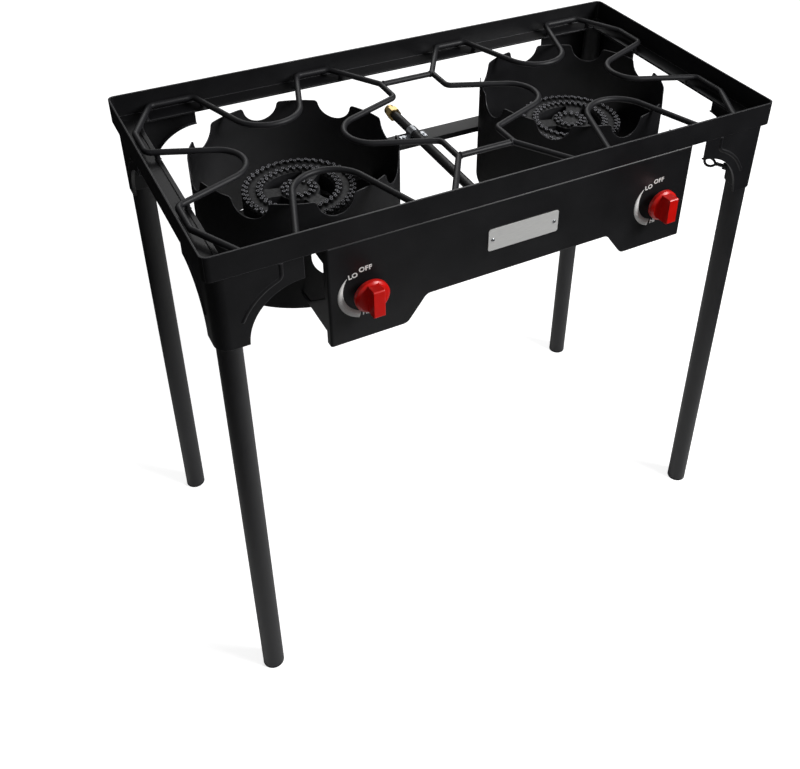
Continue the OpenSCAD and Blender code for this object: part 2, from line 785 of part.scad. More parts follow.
// A flat plate across the guard carries the burner.
module burner_strap(side) color("#1d1d1e") difference() {
    intersection() {
        at_casting(side) translate([-guard_radius, -strap_width / 2, strap_top - strap_gauge])
            cube([2 * guard_radius, strap_width, strap_gauge]);
        at_burner(side) translate([0, 0, strap_top - 2 * strap_gauge])
            cylinder(r = guard_inner, h = 4 * strap_gauge, $fn = 96);
    }
    at_casting(side) translate([0, 0, strap_top - 2 * strap_gauge])
        cylinder(r = bolt_r + hole_gap, h = 4 * strap_gauge);
}

module burner_bolts() color("#8c8c8c") for (side = [-1, 1]) at_casting(side) {
    translate([0, 0, strap_top - strap_gauge - bolt_head])
        cylinder(r = bolt_flats / 2 / cos(30), h = bolt_head, $fn = 6);
    translate([0, 0, strap_top - strap_gauge - eps]) cylinder(r = bolt_r, h = strap_gauge + bolt_in_boss);
}

// The shutter turns on the jet in front of the mixer's mouth.
module air_shutter(side) color("#9a9a9a") at_casting(side)
    translate([0, -mixer_mouth - shutter_gap, knob_z]) rotate([90, 0, 0]) linear_extrude(shutter_gauge)
        difference() {
            union() {
                circle(r = shutter_r);
                translate([shutter_r - tab_root, -tab_width / 2]) square([tab_root + tab_reach, tab_width]);
            }
            circle(r = jet_tip_r + hole_gap);
            air_windows();
        }

// ---------------------------------------------------------------- control panel

panel_outline_half = [
    [0, panel_middle_bottom], [middle_end, panel_middle_bottom],
    [lobe_inner, panel_lobe_bottom], [panel_x, panel_lobe_bottom],
    [panel_x, rim_bottom], [0, rim_bottom]
];
// The panel's right half, with the step between middle and lobe drawn round.
function panel_half() = concat(
    [panel_outline_half[0]],
    round_corner(panel_outline_half[0], panel_outline_half[1], panel_outline_half[2], panel_fillet),
    round_corner(panel_outline_half[1], panel_outline_half[2], panel_outline_half[3], panel_fillet),
    [panel_outline_half[3], panel_outline_half[4], panel_outline_half[5]]
);
function panel_points() = concat(panel_half(), [for (p = backward(panel_half())) [-p[0], p[1]]]);

// Side return: a narrow flange with a short level ear at the top and, near the
// bottom, a gusset that reaches back to the guard.
module panel_side_prism() {
    narrow_y = -panel_face + return_width;
    gusset_end = -panel_face + gusset_reach;
    top_ear_end = -panel_face + top_ear_reach;
    translate([-2 * panel_x, 0, 0]) rotate([90, 0, 90]) linear_extrude(4 * panel_x)
        polygon([[-panel_face, panel_lobe_bottom], [narrow_y, panel_lobe_bottom],
                 [narrow_y, gusset_bottom], [gusset_end, gusset_bottom],
                 [gusset_end, gusset_bottom + gusset_tip],
                 [-panel_face + gusset_knee, gusset_bottom + 2 * gusset_tip],
                 [narrow_y, gusset_bottom + gusset_height], [narrow_y, top_ear_bottom],
                 [top_ear_end, top_ear_bottom], [top_ear_end, rim_bottom - eps],
                 [-panel_face, rim_bottom - eps]]);
}

module panel_plan(inset) {
    bend = panel_bend - inset;
    translate([0, -panel_face + panel_x]) round_rect(panel_width - 2 * inset, panel_width - 2 * inset, bend);
}

module panel_front_prism() rotate([90, 0, 0])
    linear_extrude(panel_face + 1) polygon(panel_points());

// Cross-section of the sheet at its top bend, in the YZ plane.
module panel_top_section() {
    intersection() {
        difference() {
            translate([-panel_face + panel_top_flange, rim_bottom - panel_top_flange])
                round_rect(2 * panel_top_flange, 2 * panel_top_flange, panel_bend);
            translate([-panel_face + sheet_gauge + panel_top_flange, rim_bottom - sheet_gauge - panel_top_flange])
                round_rect(2 * panel_top_flange, 2 * panel_top_flange, panel_bend - sheet_gauge);
        }
        translate([-panel_face, rim_bottom - 2 * panel_bend]) square([panel_top_flange, 2 * panel_bend]);
    }
}

module panel_sheet(height) translate([0, 0, panel_lobe_bottom]) linear_extrude(height)
    difference() {
        panel_plan(0);
        panel_plan(sheet_gauge);
    }

module control_panel() color("#1b1b1c") difference() {
    union() {
        intersection() {
            panel_sheet(panel_lobe_height - 2 * panel_bend);
            panel_front_prism();
            translate([-panel_x, -panel_face - panel_bend, 0]) cube([panel_width, 2 * panel_bend, rim_height]);
        }
        intersection() {
            panel_sheet(panel_lobe_height);
            panel_side_prism();
            for (side = [-1, 1]) translate([side * panel_x - panel_bend, -panel_face - panel_bend, 0])
                cube([2 * panel_bend, panel_face, rim_height]);
        }
        translate([-panel_x + panel_bend, 0, 0]) rotate([90, 0, 90])
            linear_extrude(panel_width - 2 * panel_bend) panel_top_section();
    }
    on_both_sides() translate([0, -panel_face - sheet_gauge, knob_z])
        along_y(bonnet_r + bonnet_play, 4 * sheet_gauge);
    for (side = [-1, 1]) at_burner(side) translate([0, 0, guard_bottom - guard_height])
        cylinder(r = guard_radius, h = 3 * guard_height, $fn = 96);
    nameplate_holes(2 * sheet_gauge);
}

module nameplate_holes(depth) {
    for (side = [-1, 1]) translate([side * rivet_x, -panel_face - 2 * plate_gauge, plate_z])
        along_y(rivet_r + hole_gap, 2 * plate_gauge + depth);
}

module nameplate() color("#c9c9c6") difference() {
    translate([0, -panel_face, plate_z]) rotate([90, 0, 0]) linear_extrude(plate_gauge)
        round_rect(nameplate_length, nameplate_height, plate_corner);
    nameplate_holes(plate_gauge);
}

module nameplate_rivets() color("#8f8f8c") for (side = [-1, 1])
    translate([side * rivet_x, -panel_face, plate_z]) {
        along_y(rivet_r, plate_gauge + sheet_gauge, -plate_gauge - eps);
        translate([0, -plate_gauge - rivet_head, 0]) along_y(rivet_neck_r, rivet_head, 0, rivet_head_r);
    }

// ---------------------------------------------------------------- knobs and valves

module knob(side) color("#d42a1e") translate([side * burner_x, 0, knob_z]) difference() {
    union() {
        translate([0, -disc_front, 0]) along_y(knob_radius - disc_edge, disc_edge, 0, knob_radius);
        translate([0, -disc_front + disc_edge, 0]) along_y(knob_radius, disc_front - knob_back - disc_edge);
        rotate([90, 0, 90]) translate([0, 0, -grip_width / 2]) linear_extrude(grip_width)
            polygon([[-knob_front, grip_top - grip_edge], [-knob_front + grip_edge, grip_top],
                     [-disc_front, knob_radius - disc_edge],
                     [-disc_front + grip_sink, knob_radius - disc_edge],
                     [-disc_front + grip_sink, -grip_root_bottom],
                     [-knob_front + grip_edge, -grip_bottom], [-knob_front, -grip_bottom + grip_edge]]);
    }
    along_y(stem_r, 2 * stem_in_knob, -knob_back - stem_in_knob);
}

// The stem turns with the knob, in the valve's bore.
module valve_stem(side) color("#b9a25a") translate([side * burner_x, 0, knob_z])
    along_y(stem_r - hole_gap, stem_end + knob_back + stem_in_knob - hole_gap,
            -knob_back - stem_in_knob + hole_gap);

module bonnet_nuts() color("#8c8c8c") on_both_sides() translate([0, 0, knob_z]) difference() {
    translate([0, -panel_face - nut_seat, 0]) rotate([-90, 0, 0])
        cylinder(r = bonnet_nut_r, h = nut_seat, $fn = 6);
    along_y(bonnet_r + hole_gap, 2 * panel_face, -2 * panel_face);
}

// The valve's threaded bonnet passes through the panel, its body stays behind
// it, and the manifold screws into its side.
module valve(side) color("#b08d3c") translate([side * burner_x, 0, knob_z]) {
    difference() {
        union() {
            along_y(bonnet_r, bonnet_length, -panel_face - bonnet_proud);
            along_y(valve_r, panel_face - sheet_gauge + valve_back, -panel_face + sheet_gauge);
            translate([0, manifold_y, pipe_z - knob_z])
                rotate([0, -90 * side, 0]) cylinder(r = pipe_r + socket_wall, h = socket_reach);
        }
        along_y(stem_r, stem_end + rest_gap + 2 * panel_face, -2 * panel_face);
        translate([-side * (socket_reach + 1), manifold_y, pipe_z - knob_z])
            rotate([0, 90 * side, 0]) cylinder(r = pipe_r + hole_gap, h = pipe_grip + 1);
    }
}

module gas_jets() color("#c8a24a") on_both_sides() translate([0, 0, knob_z]) {
    mouth = casting_y - mixer_mouth;
    collar_back = mouth - 2 * shutter_gap - shutter_gauge;
    translate([0, valve_back, 0]) rotate([-90, 0, 0])
        cylinder(r = jet_hex_r, h = collar_back - valve_back, $fn = 6);
    along_y(jet_tip_r, mouth + jet_reach - collar_back + eps, collar_back - eps);
}

module manifold_pipe() color("#1e1e1f") translate([0, manifold_y, pipe_z])
    along_x(pipe_r, 2 * (burner_x - socket_reach + pipe_grip));

module gas_pipe() color("#1e1e1f") translate([0, 0, pipe_z]) difference() {
    along_y(pipe_r, pipe_back - manifold_y, manifold_y);
    translate([0, manifold_y, 0]) along_x(pipe_r, 4 * pipe_d);
    along_y(pipe_r - pipe_wall, pipe_back, manifold_y + pipe_d);
}

// Brass inlet: a hex nut and a flare nose that faces the back.
module inlet_fitting() color("#c9a24d") translate([0, pipe_back, pipe_z]) difference() {
    union() {
        rotate([-90, 0, 0]) cylinder(r = inlet_hex_r, h = inlet_hex_length, $fn = 6);
        along_y(flare_r, flare_length, inlet_hex_length - eps);
        along_y(flare_r, nose_length, inlet_hex_length + flare_length - eps, nose_r);
    }
    along_y(inlet_bore_r, fitting_length + 2, -1);
}

// ---------------------------------------------------------------- cross bar

module guard_walls(extra = 0) {
    for (side = [-1, 1]) at_burner(side) translate([0, 0, guard_bottom])
        cylinder(r = guard_radius + extra, h = guard_height, $fn = 96);
}

module cross_bar() color("#1d1d1e") difference() {
    translate([-burner_x, bar_back - bar_width / 2, bar_top - bar_flange]) difference() {
        cube([2 * burner_x, bar_width, bar_flange]);
        translate([-1, sheet_gauge, -sheet_gauge])
            cube([2 * burner_x + 2, bar_width - 2 * sheet_gauge, bar_flange]);
    }
    guard_walls();
    clamp_holes();
}

module clamp_holes() {
    for (side = [-1, 1])
        translate([side * (pipe_r + clamp_gauge + clamp_ear / 2), bar_back, bar_top - clamp_bolt_length])
            cylinder(r = clamp_bolt_r + hole_gap, h = 2 * clamp_bolt_length);
}

// A zinc saddle over the pipe, with an ear screwed down on each side.
module pipe_clamp() color("#c4c6c8") difference() {
    translate([0, bar_back - clamp_width / 2, 0]) rotate([90, 0, 0]) mirror([0, 0, 1])
        linear_extrude(clamp_width) difference() {
            union() {
                translate([0, pipe_z]) circle(r = pipe_r + hole_gap + clamp_gauge);
                translate([-pipe_r - clamp_gauge, bar_top])
                    square([2 * (pipe_r + clamp_gauge), pipe_r]);
                translate([-pipe_r - clamp_gauge - clamp_ear, bar_top])
                    square([2 * (pipe_r + clamp_gauge + clamp_ear), clamp_gauge]);
            }
            translate([0, pipe_z]) circle(r = pipe_r + hole_gap);
            translate([-pipe_r - hole_gap, bar_top - 1]) square([2 * (pipe_r + hole_gap), pipe_r + 1]);
            translate([-bar_width, bar_top - pipe_d]) square([2 * bar_width, pipe_d]);
        }
    clamp_holes();
}

module clamp_screws() color("#c4c6c8")
    for (side = [-1, 1]) translate([side * (pipe_r + clamp_gauge + clamp_ear / 2), bar_back, 0]) {
        translate([0, 0, bar_top + clamp_gauge]) cylinder(r = clamp_head_r, h = clamp_head);
        translate([0, 0, bar_top - clamp_bolt_length])
            cylinder(r = clamp_bolt_r, h = clamp_bolt_length + clamp_gauge + eps);
    }

// ---------------------------------------------------------------- nodes

module placed() translate([0, origin_shift, 0]) children();

placed() long_rail(-1);  // rail_front
placed() long_rail(1);  // rail_back
placed() side_rail(-1);  // rail_left
placed() side_rail(1);  // rail_right
placed() corner_bracket(-1, -1);  // corner_bracket_front_left
placed() corner_bracket(1, -1);  // corner_bracket_front_right
placed() corner_bracket(-1, 1);  // corner_bracket_back_left
placed() corner_bracket(1, 1);  // corner_bracket_back_right
placed() leg_clip(-1, -1);  // leg_clip_front_left
placed() leg_clip(1, -1);  // leg_clip_front_right
placed() leg_clip(-1, 1);  // leg_clip_back_left
placed() leg_clip(1, 1);  // leg_clip_back_right
placed() weld_nuts();
placed() leg(-1, -1);  // leg_front_left
placed() leg(1, -1);  // leg_front_right
placed() leg(-1, 1);  // leg_back_left
placed() leg(1, 1);  // leg_back_right
placed() foot_plug(-1, -1);  // foot_plug_front_left
placed() foot_plug(1, -1);  // foot_plug_front_right
placed() foot_plug(-1, 1);  // foot_plug_back_left
placed() foot_plug(1, 1);  // foot_plug_back_right
placed() thumbscrew(-1, -1);  // thumbscrew_front_left
placed() thumbscrew(1, -1);  // thumbscrew_front_right
placed() thumbscrew(-1, 1);  // thumbscrew_back_left
placed() thumbscrew(1, 1);  // thumbscrew_back_right
placed() pot_grate(-1, -1);  // pot_grate_left_front
placed() pot_grate(-1, 1);  // pot_grate_left_back
placed() pot_grate(1, -1);  // pot_grate_right_front
placed() pot_grate(1, 1);  // pot_grate_right_back
placed() grate_links();
placed() wind_guard(-1);  // wind_guard_left
placed() wind_guard(1);  // wind_guard_right
placed() burner_casting(-1);  // burner_casting_left
placed() burner_casting(1);  // burner_casting_right
placed() burner_strap(-1);  // burner_strap_left
placed() burner_strap(1);  // burner_strap_right
placed() burner_bolts();
placed() air_shutter(-1);  // air_shutter_left
placed() air_shutter(1);  // air_shutter_right
placed() control_panel();
placed() nameplate();
placed() nameplate_rivets();
placed() bonnet_nuts();
placed() valve(-1);  // valve_left
placed() valve(1);  // valve_right
placed() valve_stem(-1);  // valve_stem_left
placed() valve_stem(1);  // valve_stem_right
placed() knob(-1);  // knob_left
placed() knob(1);  // knob_right
placed() gas_jets();
placed() manifold_pipe();
placed() gas_pipe();
placed() inlet_fitting();
placed() cross_bar();
placed() pipe_clamp();
placed() clamp_screws();
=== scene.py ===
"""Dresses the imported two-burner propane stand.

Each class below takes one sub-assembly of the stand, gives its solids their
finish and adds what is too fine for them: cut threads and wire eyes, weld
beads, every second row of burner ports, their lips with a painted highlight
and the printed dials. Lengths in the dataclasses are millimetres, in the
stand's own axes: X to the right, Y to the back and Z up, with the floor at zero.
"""

import json
import logging
import math
from dataclasses import dataclass
from enum import Enum

import bpy
import numpy as np
from mathutils import Matrix, Vector

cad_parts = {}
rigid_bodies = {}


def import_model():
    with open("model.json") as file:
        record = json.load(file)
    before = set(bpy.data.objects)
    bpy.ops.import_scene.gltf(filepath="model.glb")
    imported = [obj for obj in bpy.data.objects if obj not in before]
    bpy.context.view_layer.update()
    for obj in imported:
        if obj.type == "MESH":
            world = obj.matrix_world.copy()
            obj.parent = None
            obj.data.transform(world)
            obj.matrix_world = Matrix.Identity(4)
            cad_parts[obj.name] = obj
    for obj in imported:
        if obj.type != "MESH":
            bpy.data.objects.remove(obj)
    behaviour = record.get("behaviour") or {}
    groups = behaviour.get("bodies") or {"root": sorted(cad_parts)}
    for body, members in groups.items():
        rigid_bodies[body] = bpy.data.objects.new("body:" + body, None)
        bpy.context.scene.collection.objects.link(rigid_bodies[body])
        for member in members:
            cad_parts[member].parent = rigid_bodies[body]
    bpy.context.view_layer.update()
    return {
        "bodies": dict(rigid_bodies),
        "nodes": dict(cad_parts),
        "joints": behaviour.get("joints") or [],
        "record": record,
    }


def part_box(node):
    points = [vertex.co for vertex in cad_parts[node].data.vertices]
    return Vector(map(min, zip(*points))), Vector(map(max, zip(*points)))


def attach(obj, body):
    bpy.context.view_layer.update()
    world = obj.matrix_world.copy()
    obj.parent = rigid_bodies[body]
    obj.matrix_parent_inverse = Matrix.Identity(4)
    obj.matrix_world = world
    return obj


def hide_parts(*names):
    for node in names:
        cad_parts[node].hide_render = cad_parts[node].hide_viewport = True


LOG = logging.getLogger("burner_stand")
MM = 0.001


class Side(Enum):
    """The two burners, named as seen from the knobs."""

    LEFT = -1
    RIGHT = 1

    @property
    def word(self) -> str:
        """Lower-case name, as the solids' names end."""
        return self.name.lower()


class Corner(Enum):
    """The four corners, as signs along X and Y."""

    FRONT_LEFT = (-1, -1)
    FRONT_RIGHT = (1, -1)
    BACK_LEFT = (-1, 1)
    BACK_RIGHT = (1, 1)

    @property
    def word(self) -> str:
        """Lower-case name, as the solids' names end."""
        return self.name.lower()


# --------------------------------------------------------------------------
# Colour and nodes


def linear(hex_colour: str) -> tuple[float, float, float, float]:
    """Turns an sRGB hex colour into the linear RGBA that a shader takes.

    Args:
        hex_colour: six hex digits after a "#".

    Returns:
        Linear red, green and blue, and an alpha of 1.
    """
    digits = hex_colour.lstrip("#")
    srgb = np.array([int(digits[i : i + 2], 16) for i in (0, 2, 4)]) / 255.0
    low, high = srgb / 12.92, ((srgb + 0.055) / 1.055) ** 2.4
    return (*np.where(srgb <= 0.04045, low, high).tolist(), 1.0)


def add_node(
    tree: bpy.types.NodeTree,
    kind: str,
    sockets: dict | None = None,
    stops: tuple[tuple[float, str], ...] = (),
    **settings,
) -> bpy.types.Node:
    """Adds a node with its settings and fills its sockets.

    Args:
        tree: the node tree that gets it.
        kind: the node's type, such as "ShaderNodeBump".
        sockets: input name or number to a value, or to a (node, output) pair
            that is linked to it.
        stops: a colour ramp's two stops, each a position and a hex colour.
        **settings: attributes of the node itself.

    Returns:
        The new node.
    """
    new = tree.nodes.new(kind)
    for name, value in settings.items():
        setattr(new, name, value)
    for name, value in (sockets or {}).items():
        if isinstance(value, tuple) and isinstance(value[0], bpy.types.Node):
            tree.links.new(value[0].outputs[value[1]], new.inputs[name])
        else:
            new.inputs[name].default_value = value
    for index, (position, colour) in enumerate(stops):
        new.color_ramp.elements[index].position = position
        new.color_ramp.elements[index].color = linear(colour)
    return new


def blank_material(name: str) -> tuple[bpy.types.Material, bpy.types.NodeTree]:
    """Makes an empty node material.

    Args:
        name: the material's name.

    Returns:
        The material and its tree.
    """
    material = bpy.data.materials.new(name)
    material.use_nodes = True
    material.node_tree.nodes.clear()
    return material, material.node_tree


# --------------------------------------------------------------------------
# Finishes


@dataclass(frozen=True)
class PowderCoat:
    """Polyester powder baked on mild steel.

    The powder melts into a satin skin with a fine orange peel. Along cut edges
    a paler colour is painted: a painted highlight, standing for the light that
    a rounded edge catches. It has no grain and no metal shows.
    """

    name: str
    colour: str = "#151517"
    dusty: str = "#1d1d1f"
    # Painted highlight: the paler colour painted along the edges.
    rubbed: str = "#5e5e62"
    roughness: float = 0.4
    specular: float = 0.4
    peel_mm: float = 1.6
    peel_depth_mm: float = 0.05
    edge_mm: float = 0.8
    haze_mm: float = 60.0

    def build(self) -> bpy.types.Material:
        """Returns the material."""
        material, tree = blank_material(self.name)
        place = add_node(tree, "ShaderNodeTexCoord")
        haze = add_node(
            tree,
            "ShaderNodeTexNoise",
            {"Vector": (place, "Object"), "Scale": 1 / (self.haze_mm * MM), "Detail": 3.0},
        )
        peel = add_node(
            tree,
            "ShaderNodeTexNoise",
            {"Vector": (place, "Object"), "Scale": 1 / (self.peel_mm * MM), "Detail": 2.0},
        )
        skin = add_node(
            tree,
            "ShaderNodeValToRGB",
            {"Fac": (haze, "Fac")},
            stops=((0.35, self.colour), (0.75, self.dusty)),
        )
        gloss = add_node(
            tree,
            "ShaderNodeMapRange",
            {"Value": (haze, "Fac"), "To Min": self.roughness - 0.05, "To Max": self.roughness + 0.06},
        )
        edge = add_node(tree, "ShaderNodeBevel", {"Radius": self.edge_mm * MM}, samples=8)
        face = add_node(tree, "ShaderNodeNewGeometry")
        flat = add_node(
            tree,
            "ShaderNodeVectorMath",
            {0: (edge, "Normal"), 1: (face, "Normal")},
            operation="DOT_PRODUCT",
        )
        # Where the bevelled normal leans from the face: the edges that get the painted highlight.
        edge_light_mask = add_node(
            tree,
            "ShaderNodeMapRange",
            {"Value": (flat, "Value"), "From Min": 0.985, "From Max": 0.8, "To Min": 0.0, "To Max": 1.0},
        )
        # The coat's colour with the painted edge highlight mixed in along the edges.
        worn = add_node(
            tree,
            "ShaderNodeMix",
            {0: (edge_light_mask, "Result"), 6: (skin, "Color"), 7: linear(self.rubbed)},
            data_type="RGBA",
        )
        bump = add_node(
            tree,
            "ShaderNodeBump",
            {
                "Height": (peel, "Fac"),
                "Strength": 0.5,
                "Distance": self.peel_depth_mm * MM,
                "Normal": (edge, "Normal"),
            },
        )
        shader = add_node(
            tree,
            "ShaderNodeBsdfPrincipled",
            {
                "Base Color": (worn, 2),
                "Roughness": (gloss, "Result"),
                "Specular IOR Level": self.specular,
                "Normal": (bump, "Normal"),
            },
        )
        add_node(tree, "ShaderNodeOutputMaterial", {"Surface": (shader, "BSDF")})
        return material


@dataclass(frozen=True)
class EnamelledIron:
    """Sand-cast grey iron under a thin black stove enamel.

    The sand leaves a pebbled skin a grain or two deep, and the enamel pools in
    it, so small highlights sit beside dull pits. In the gaps between the ports
    the colour is a painted shade, near black where ambient occlusion finds
    them, and the enamel there is duller. On open faces it is greyer.
    """

    name: str = "enamelled cast iron"
    colour: str = "#161617"
    worn: str = "#2a2a2d"
    specular: float = 0.35
    sand_mm: float = 1.1
    sand_depth_mm: float = 0.25
    # Painted shade: near black, laid where ambient occlusion finds the gaps between the ports.
    thick: str = "#060606"
    gap_mm: float = 6.0
    pit_mm: float = 3.2
    edge_mm: float = 0.6

    def build(self) -> bpy.types.Material:
        """Returns the material."""
        material, tree = blank_material(self.name)
        place = add_node(tree, "ShaderNodeTexCoord")
        # Ambient occlusion marks the gaps that get the painted shade.
        shelter = add_node(
            tree, "ShaderNodeAmbientOcclusion", {"Distance": self.gap_mm * MM}, samples=8
        )
        in_open = add_node(
            tree, "ShaderNodeMapRange", {"Value": (shelter, "AO"), "From Min": 0.5, "From Max": 0.92}
        )
        sand = add_node(
            tree,
            "ShaderNodeTexNoise",
            {
                "Vector": (place, "Object"),
                "Scale": 1 / (self.sand_mm * MM),
                "Detail": 4.0,
                "Roughness": 0.6,
            },
        )
        pits = add_node(
            tree,
            "ShaderNodeTexVoronoi",
            {"Vector": (place, "Object"), "Scale": 1 / (self.pit_mm * MM)},
            feature="F1",
        )
        skin = add_node(
            tree,
            "ShaderNodeValToRGB",
            {"Fac": (sand, "Fac")},
            stops=((0.3, self.colour), (0.72, self.worn)),
        )
        # Painted shade in the gaps, the sand-grain colour on open faces.
        enamel = add_node(
            tree,
            "ShaderNodeMix",
            {0: (in_open, "Result"), 6: linear(self.thick), 7: (skin, "Color")},
            data_type="RGBA",
        )
        gloss = add_node(
            tree, "ShaderNodeMapRange", {"Value": (pits, "Distance"), "To Min": 0.42, "To Max": 0.64}
        )
        dull = add_node(
            tree, "ShaderNodeMix", {0: (in_open, "Result"), 2: 0.95, 3: (gloss, "Result")}
        )
        edge = add_node(tree, "ShaderNodeBevel", {"Radius": self.edge_mm * MM}, samples=6)
        grain = add_node(
            tree,
            "ShaderNodeBump",
            {
                "Height": (sand, "Fac"),
                "Strength": 0.6,
                "Distance": self.sand_depth_mm * MM,
                "Normal": (edge, "Normal"),
            },
        )
        shader = add_node(
            tree,
            "ShaderNodeBsdfPrincipled",
            {
                "Base Color": (enamel, 2),
                "Roughness": (dull, 0),
                "Specular IOR Level": self.specular,
                "Normal": (grain, "Normal"),
            },
        )
        add_node(tree, "ShaderNodeOutputMaterial", {"Surface": (shader, "BSDF")})
        return material


@dataclass(frozen=True)
class BareMetal:
    """A plated, turned or brushed metal with fine tool lines.

    The lines run along one axis of the stand: they are drawn as a noise that
    is stretched along it, which spreads the highlight across them.
    """

    name: str
    colour: str
    shade: str
    roughness: float = 0.3
    metallic: float = 1.0
    line_mm: float = 0.4
    stretch: tuple[float, float, float] = (1.0, 1.0, 1.0)
    line_depth_mm: float = 0.02
    edge_mm: float = 0.3

    def build(self) -> bpy.types.Material:
        """Returns the material."""
        material, tree = blank_material(self.name)
        place = add_node(tree, "ShaderNodeTexCoord")
        along = add_node(tree, "ShaderNodeMapping", {"Vector": (place, "Object"), "Scale": self.stretch})
        lines = add_node(
            tree,
            "ShaderNodeTexNoise",
            {"Vector": (along, "Vector"), "Scale": 1 / (self.line_mm * MM), "Detail": 3.0},
        )
        tint = add_node(
            tree,
            "ShaderNodeValToRGB",
            {"Fac": (lines, "Fac")},
            stops=((0.3, self.shade), (0.7, self.colour)),
        )
        gloss = add_node(
            tree,
            "ShaderNodeMapRange",
            {"Value": (lines, "Fac"), "To Min": self.roughness - 0.08, "To Max": self.roughness + 0.1},
        )
        edge = add_node(tree, "ShaderNodeBevel", {"Radius": self.edge_mm * MM}, samples=6)
        bump = add_node(
            tree,
            "ShaderNodeBump",
            {
                "Height": (lines, "Fac"),
                "Strength": 0.4,
                "Distance": self.line_depth_mm * MM,
                "Normal": (edge, "Normal"),
            },
        )
        shader = add_node(
            tree,
            "ShaderNodeBsdfPrincipled",
            {
                "Base Color": (tint, "Color"),
                "Metallic": self.metallic,
                "Roughness": (gloss, "Result"),
                "Normal": (bump, "Normal"),
            },
        )
        add_node(tree, "ShaderNodeOutputMaterial", {"Surface": (shader, "BSDF")})
        return material


@dataclass(frozen=True)
class MouldedPlastic:
    """Injection-moulded plastic, coloured through.

    A polished tool leaves a smooth face with a soft flow ripple. The colour
    is even, a little deeper where the wall is thick.
    """

    name: str
    colour: str
    deep: str
    roughness: float = 0.28
    specular: float = 0.5
    edge_mm: float = 1.4
    flow_mm: float = 9.0
    flow_depth_mm: float = 0.05

    def build(self) -> bpy.types.Material:
        """Returns the material."""
        material, tree = blank_material(self.name)
        place = add_node(tree, "ShaderNodeTexCoord")
        edge = add_node(tree, "ShaderNodeBevel", {"Radius": self.edge_mm * MM}, samples=12)
        flow = add_node(
            tree,
            "ShaderNodeTexNoise",
            {"Vector": (place, "Object"), "Scale": 1 / (self.flow_mm * MM), "Detail": 1.5},
        )
        tint = add_node(
            tree,
            "ShaderNodeValToRGB",
            {"Fac": (flow, "Fac")},
            stops=((0.35, self.deep), (0.7, self.colour)),
        )
        bump = add_node(
            tree,
            "ShaderNodeBump",
            {
                "Height": (flow, "Fac"),
                "Strength": 0.25,
                "Distance": self.flow_depth_mm * MM,
                "Normal": (edge, "Normal"),
            },
        )
        shader = add_node(
            tree,
            "ShaderNodeBsdfPrincipled",
            {
                "Base Color": (tint, "Color"),
                "Roughness": self.roughness,
                "Specular IOR Level": self.specular,
                "Normal": (bump, "Normal"),
            },
        )
        add_node(tree, "ShaderNodeOutputMaterial", {"Surface": (shader, "BSDF")})
        return material


@dataclass(frozen=True)
class ScreenPrint:
    """White two-part ink, screen-printed on the powder coat.

    The ink lies thin and dry, and the mesh leaves it slightly mottled.
    """

    name: str = "white screen print"
    colour: str = "#f6f5f3"
    thin: str = "#e2e0dd"
    roughness: float = 0.6
    mesh_mm: float = 0.8

    def build(self) -> bpy.types.Material:
        """Returns the material."""
        material, tree = blank_material(self.name)
        place = add_node(tree, "ShaderNodeTexCoord")
        mesh = add_node(
            tree,
            "ShaderNodeTexNoise",
            {"Vector": (place, "Object"), "Scale": 1 / (self.mesh_mm * MM), "Detail": 2.0},
        )
        tint = add_node(
            tree,
            "ShaderNodeValToRGB",
            {"Fac": (mesh, "Fac")},
            stops=((0.3, self.thin), (0.6, self.colour)),
        )
        shader = add_node(
            tree,
            "ShaderNodeBsdfPrincipled",
            {"Base Color": (tint, "Color"), "Roughness": self.roughness},
        )
        add_node(tree, "ShaderNodeOutputMaterial", {"Surface": (shader, "BSDF")})
        return material


# --------------------------------------------------------------------------
# Surfaces


def smooth_object(name: str, points: np.ndarray, faces: list[list[int]]) -> bpy.types.Object:
    """Makes a smooth-shaded object at the origin.

    Args:
        name: the object's name.
        points: ... x 3 points, in millimetres.
        faces: the corners of each face.

    Returns:
        The new object.
    """
    mesh = bpy.data.meshes.new(name)
    mesh.from_pydata((points.reshape(-1, 3) * MM).tolist(), [], faces)
    mesh.update()
    mesh.polygons.foreach_set("use_smooth", np.ones(len(mesh.polygons), dtype=bool))
    made = bpy.data.objects.new(name, mesh)
    bpy.context.scene.collection.objects.link(made)
    return made


def wrapped_quads(rows: int, columns: int, close_rows: bool) -> np.ndarray:
    """Quads of a grid whose columns close on themselves.

    Args:
        rows: number of rows.
        columns: samples in a row. The last one joins the first.
        close_rows: joins the last row to the first as well.

    Returns:
        n x 4 numbers of points, counted row by row.
    """
    index = np.arange(rows * columns).reshape(rows, columns)
    low = index if close_rows else index[:-1]
    high = np.roll(index, -1, axis=0) if close_rows else index[1:]
    return np.stack([low, np.roll(low, -1, 1), np.roll(high, -1, 1), high], axis=-1).reshape(-1, 4)


def tube_mesh(name: str, points: np.ndarray) -> bpy.types.Object:
    """Makes an object from a tube that is sampled on a grid.

    The surface is P(i, j), with quads between neighbours. Each row closes on
    itself, and the first and last rows are each capped with one face.

    Args:
        name: the object's name.
        points: rows x columns x 3, in millimetres.

    Returns:
        The new object, smooth-shaded, at the origin.
    """
    rows, columns = points.shape[:2]
    last = rows * columns
    caps = [list(range(columns))[::-1], list(range(last - columns, last))]
    return smooth_object(name, points, wrapped_quads(rows, columns, False).tolist() + caps)


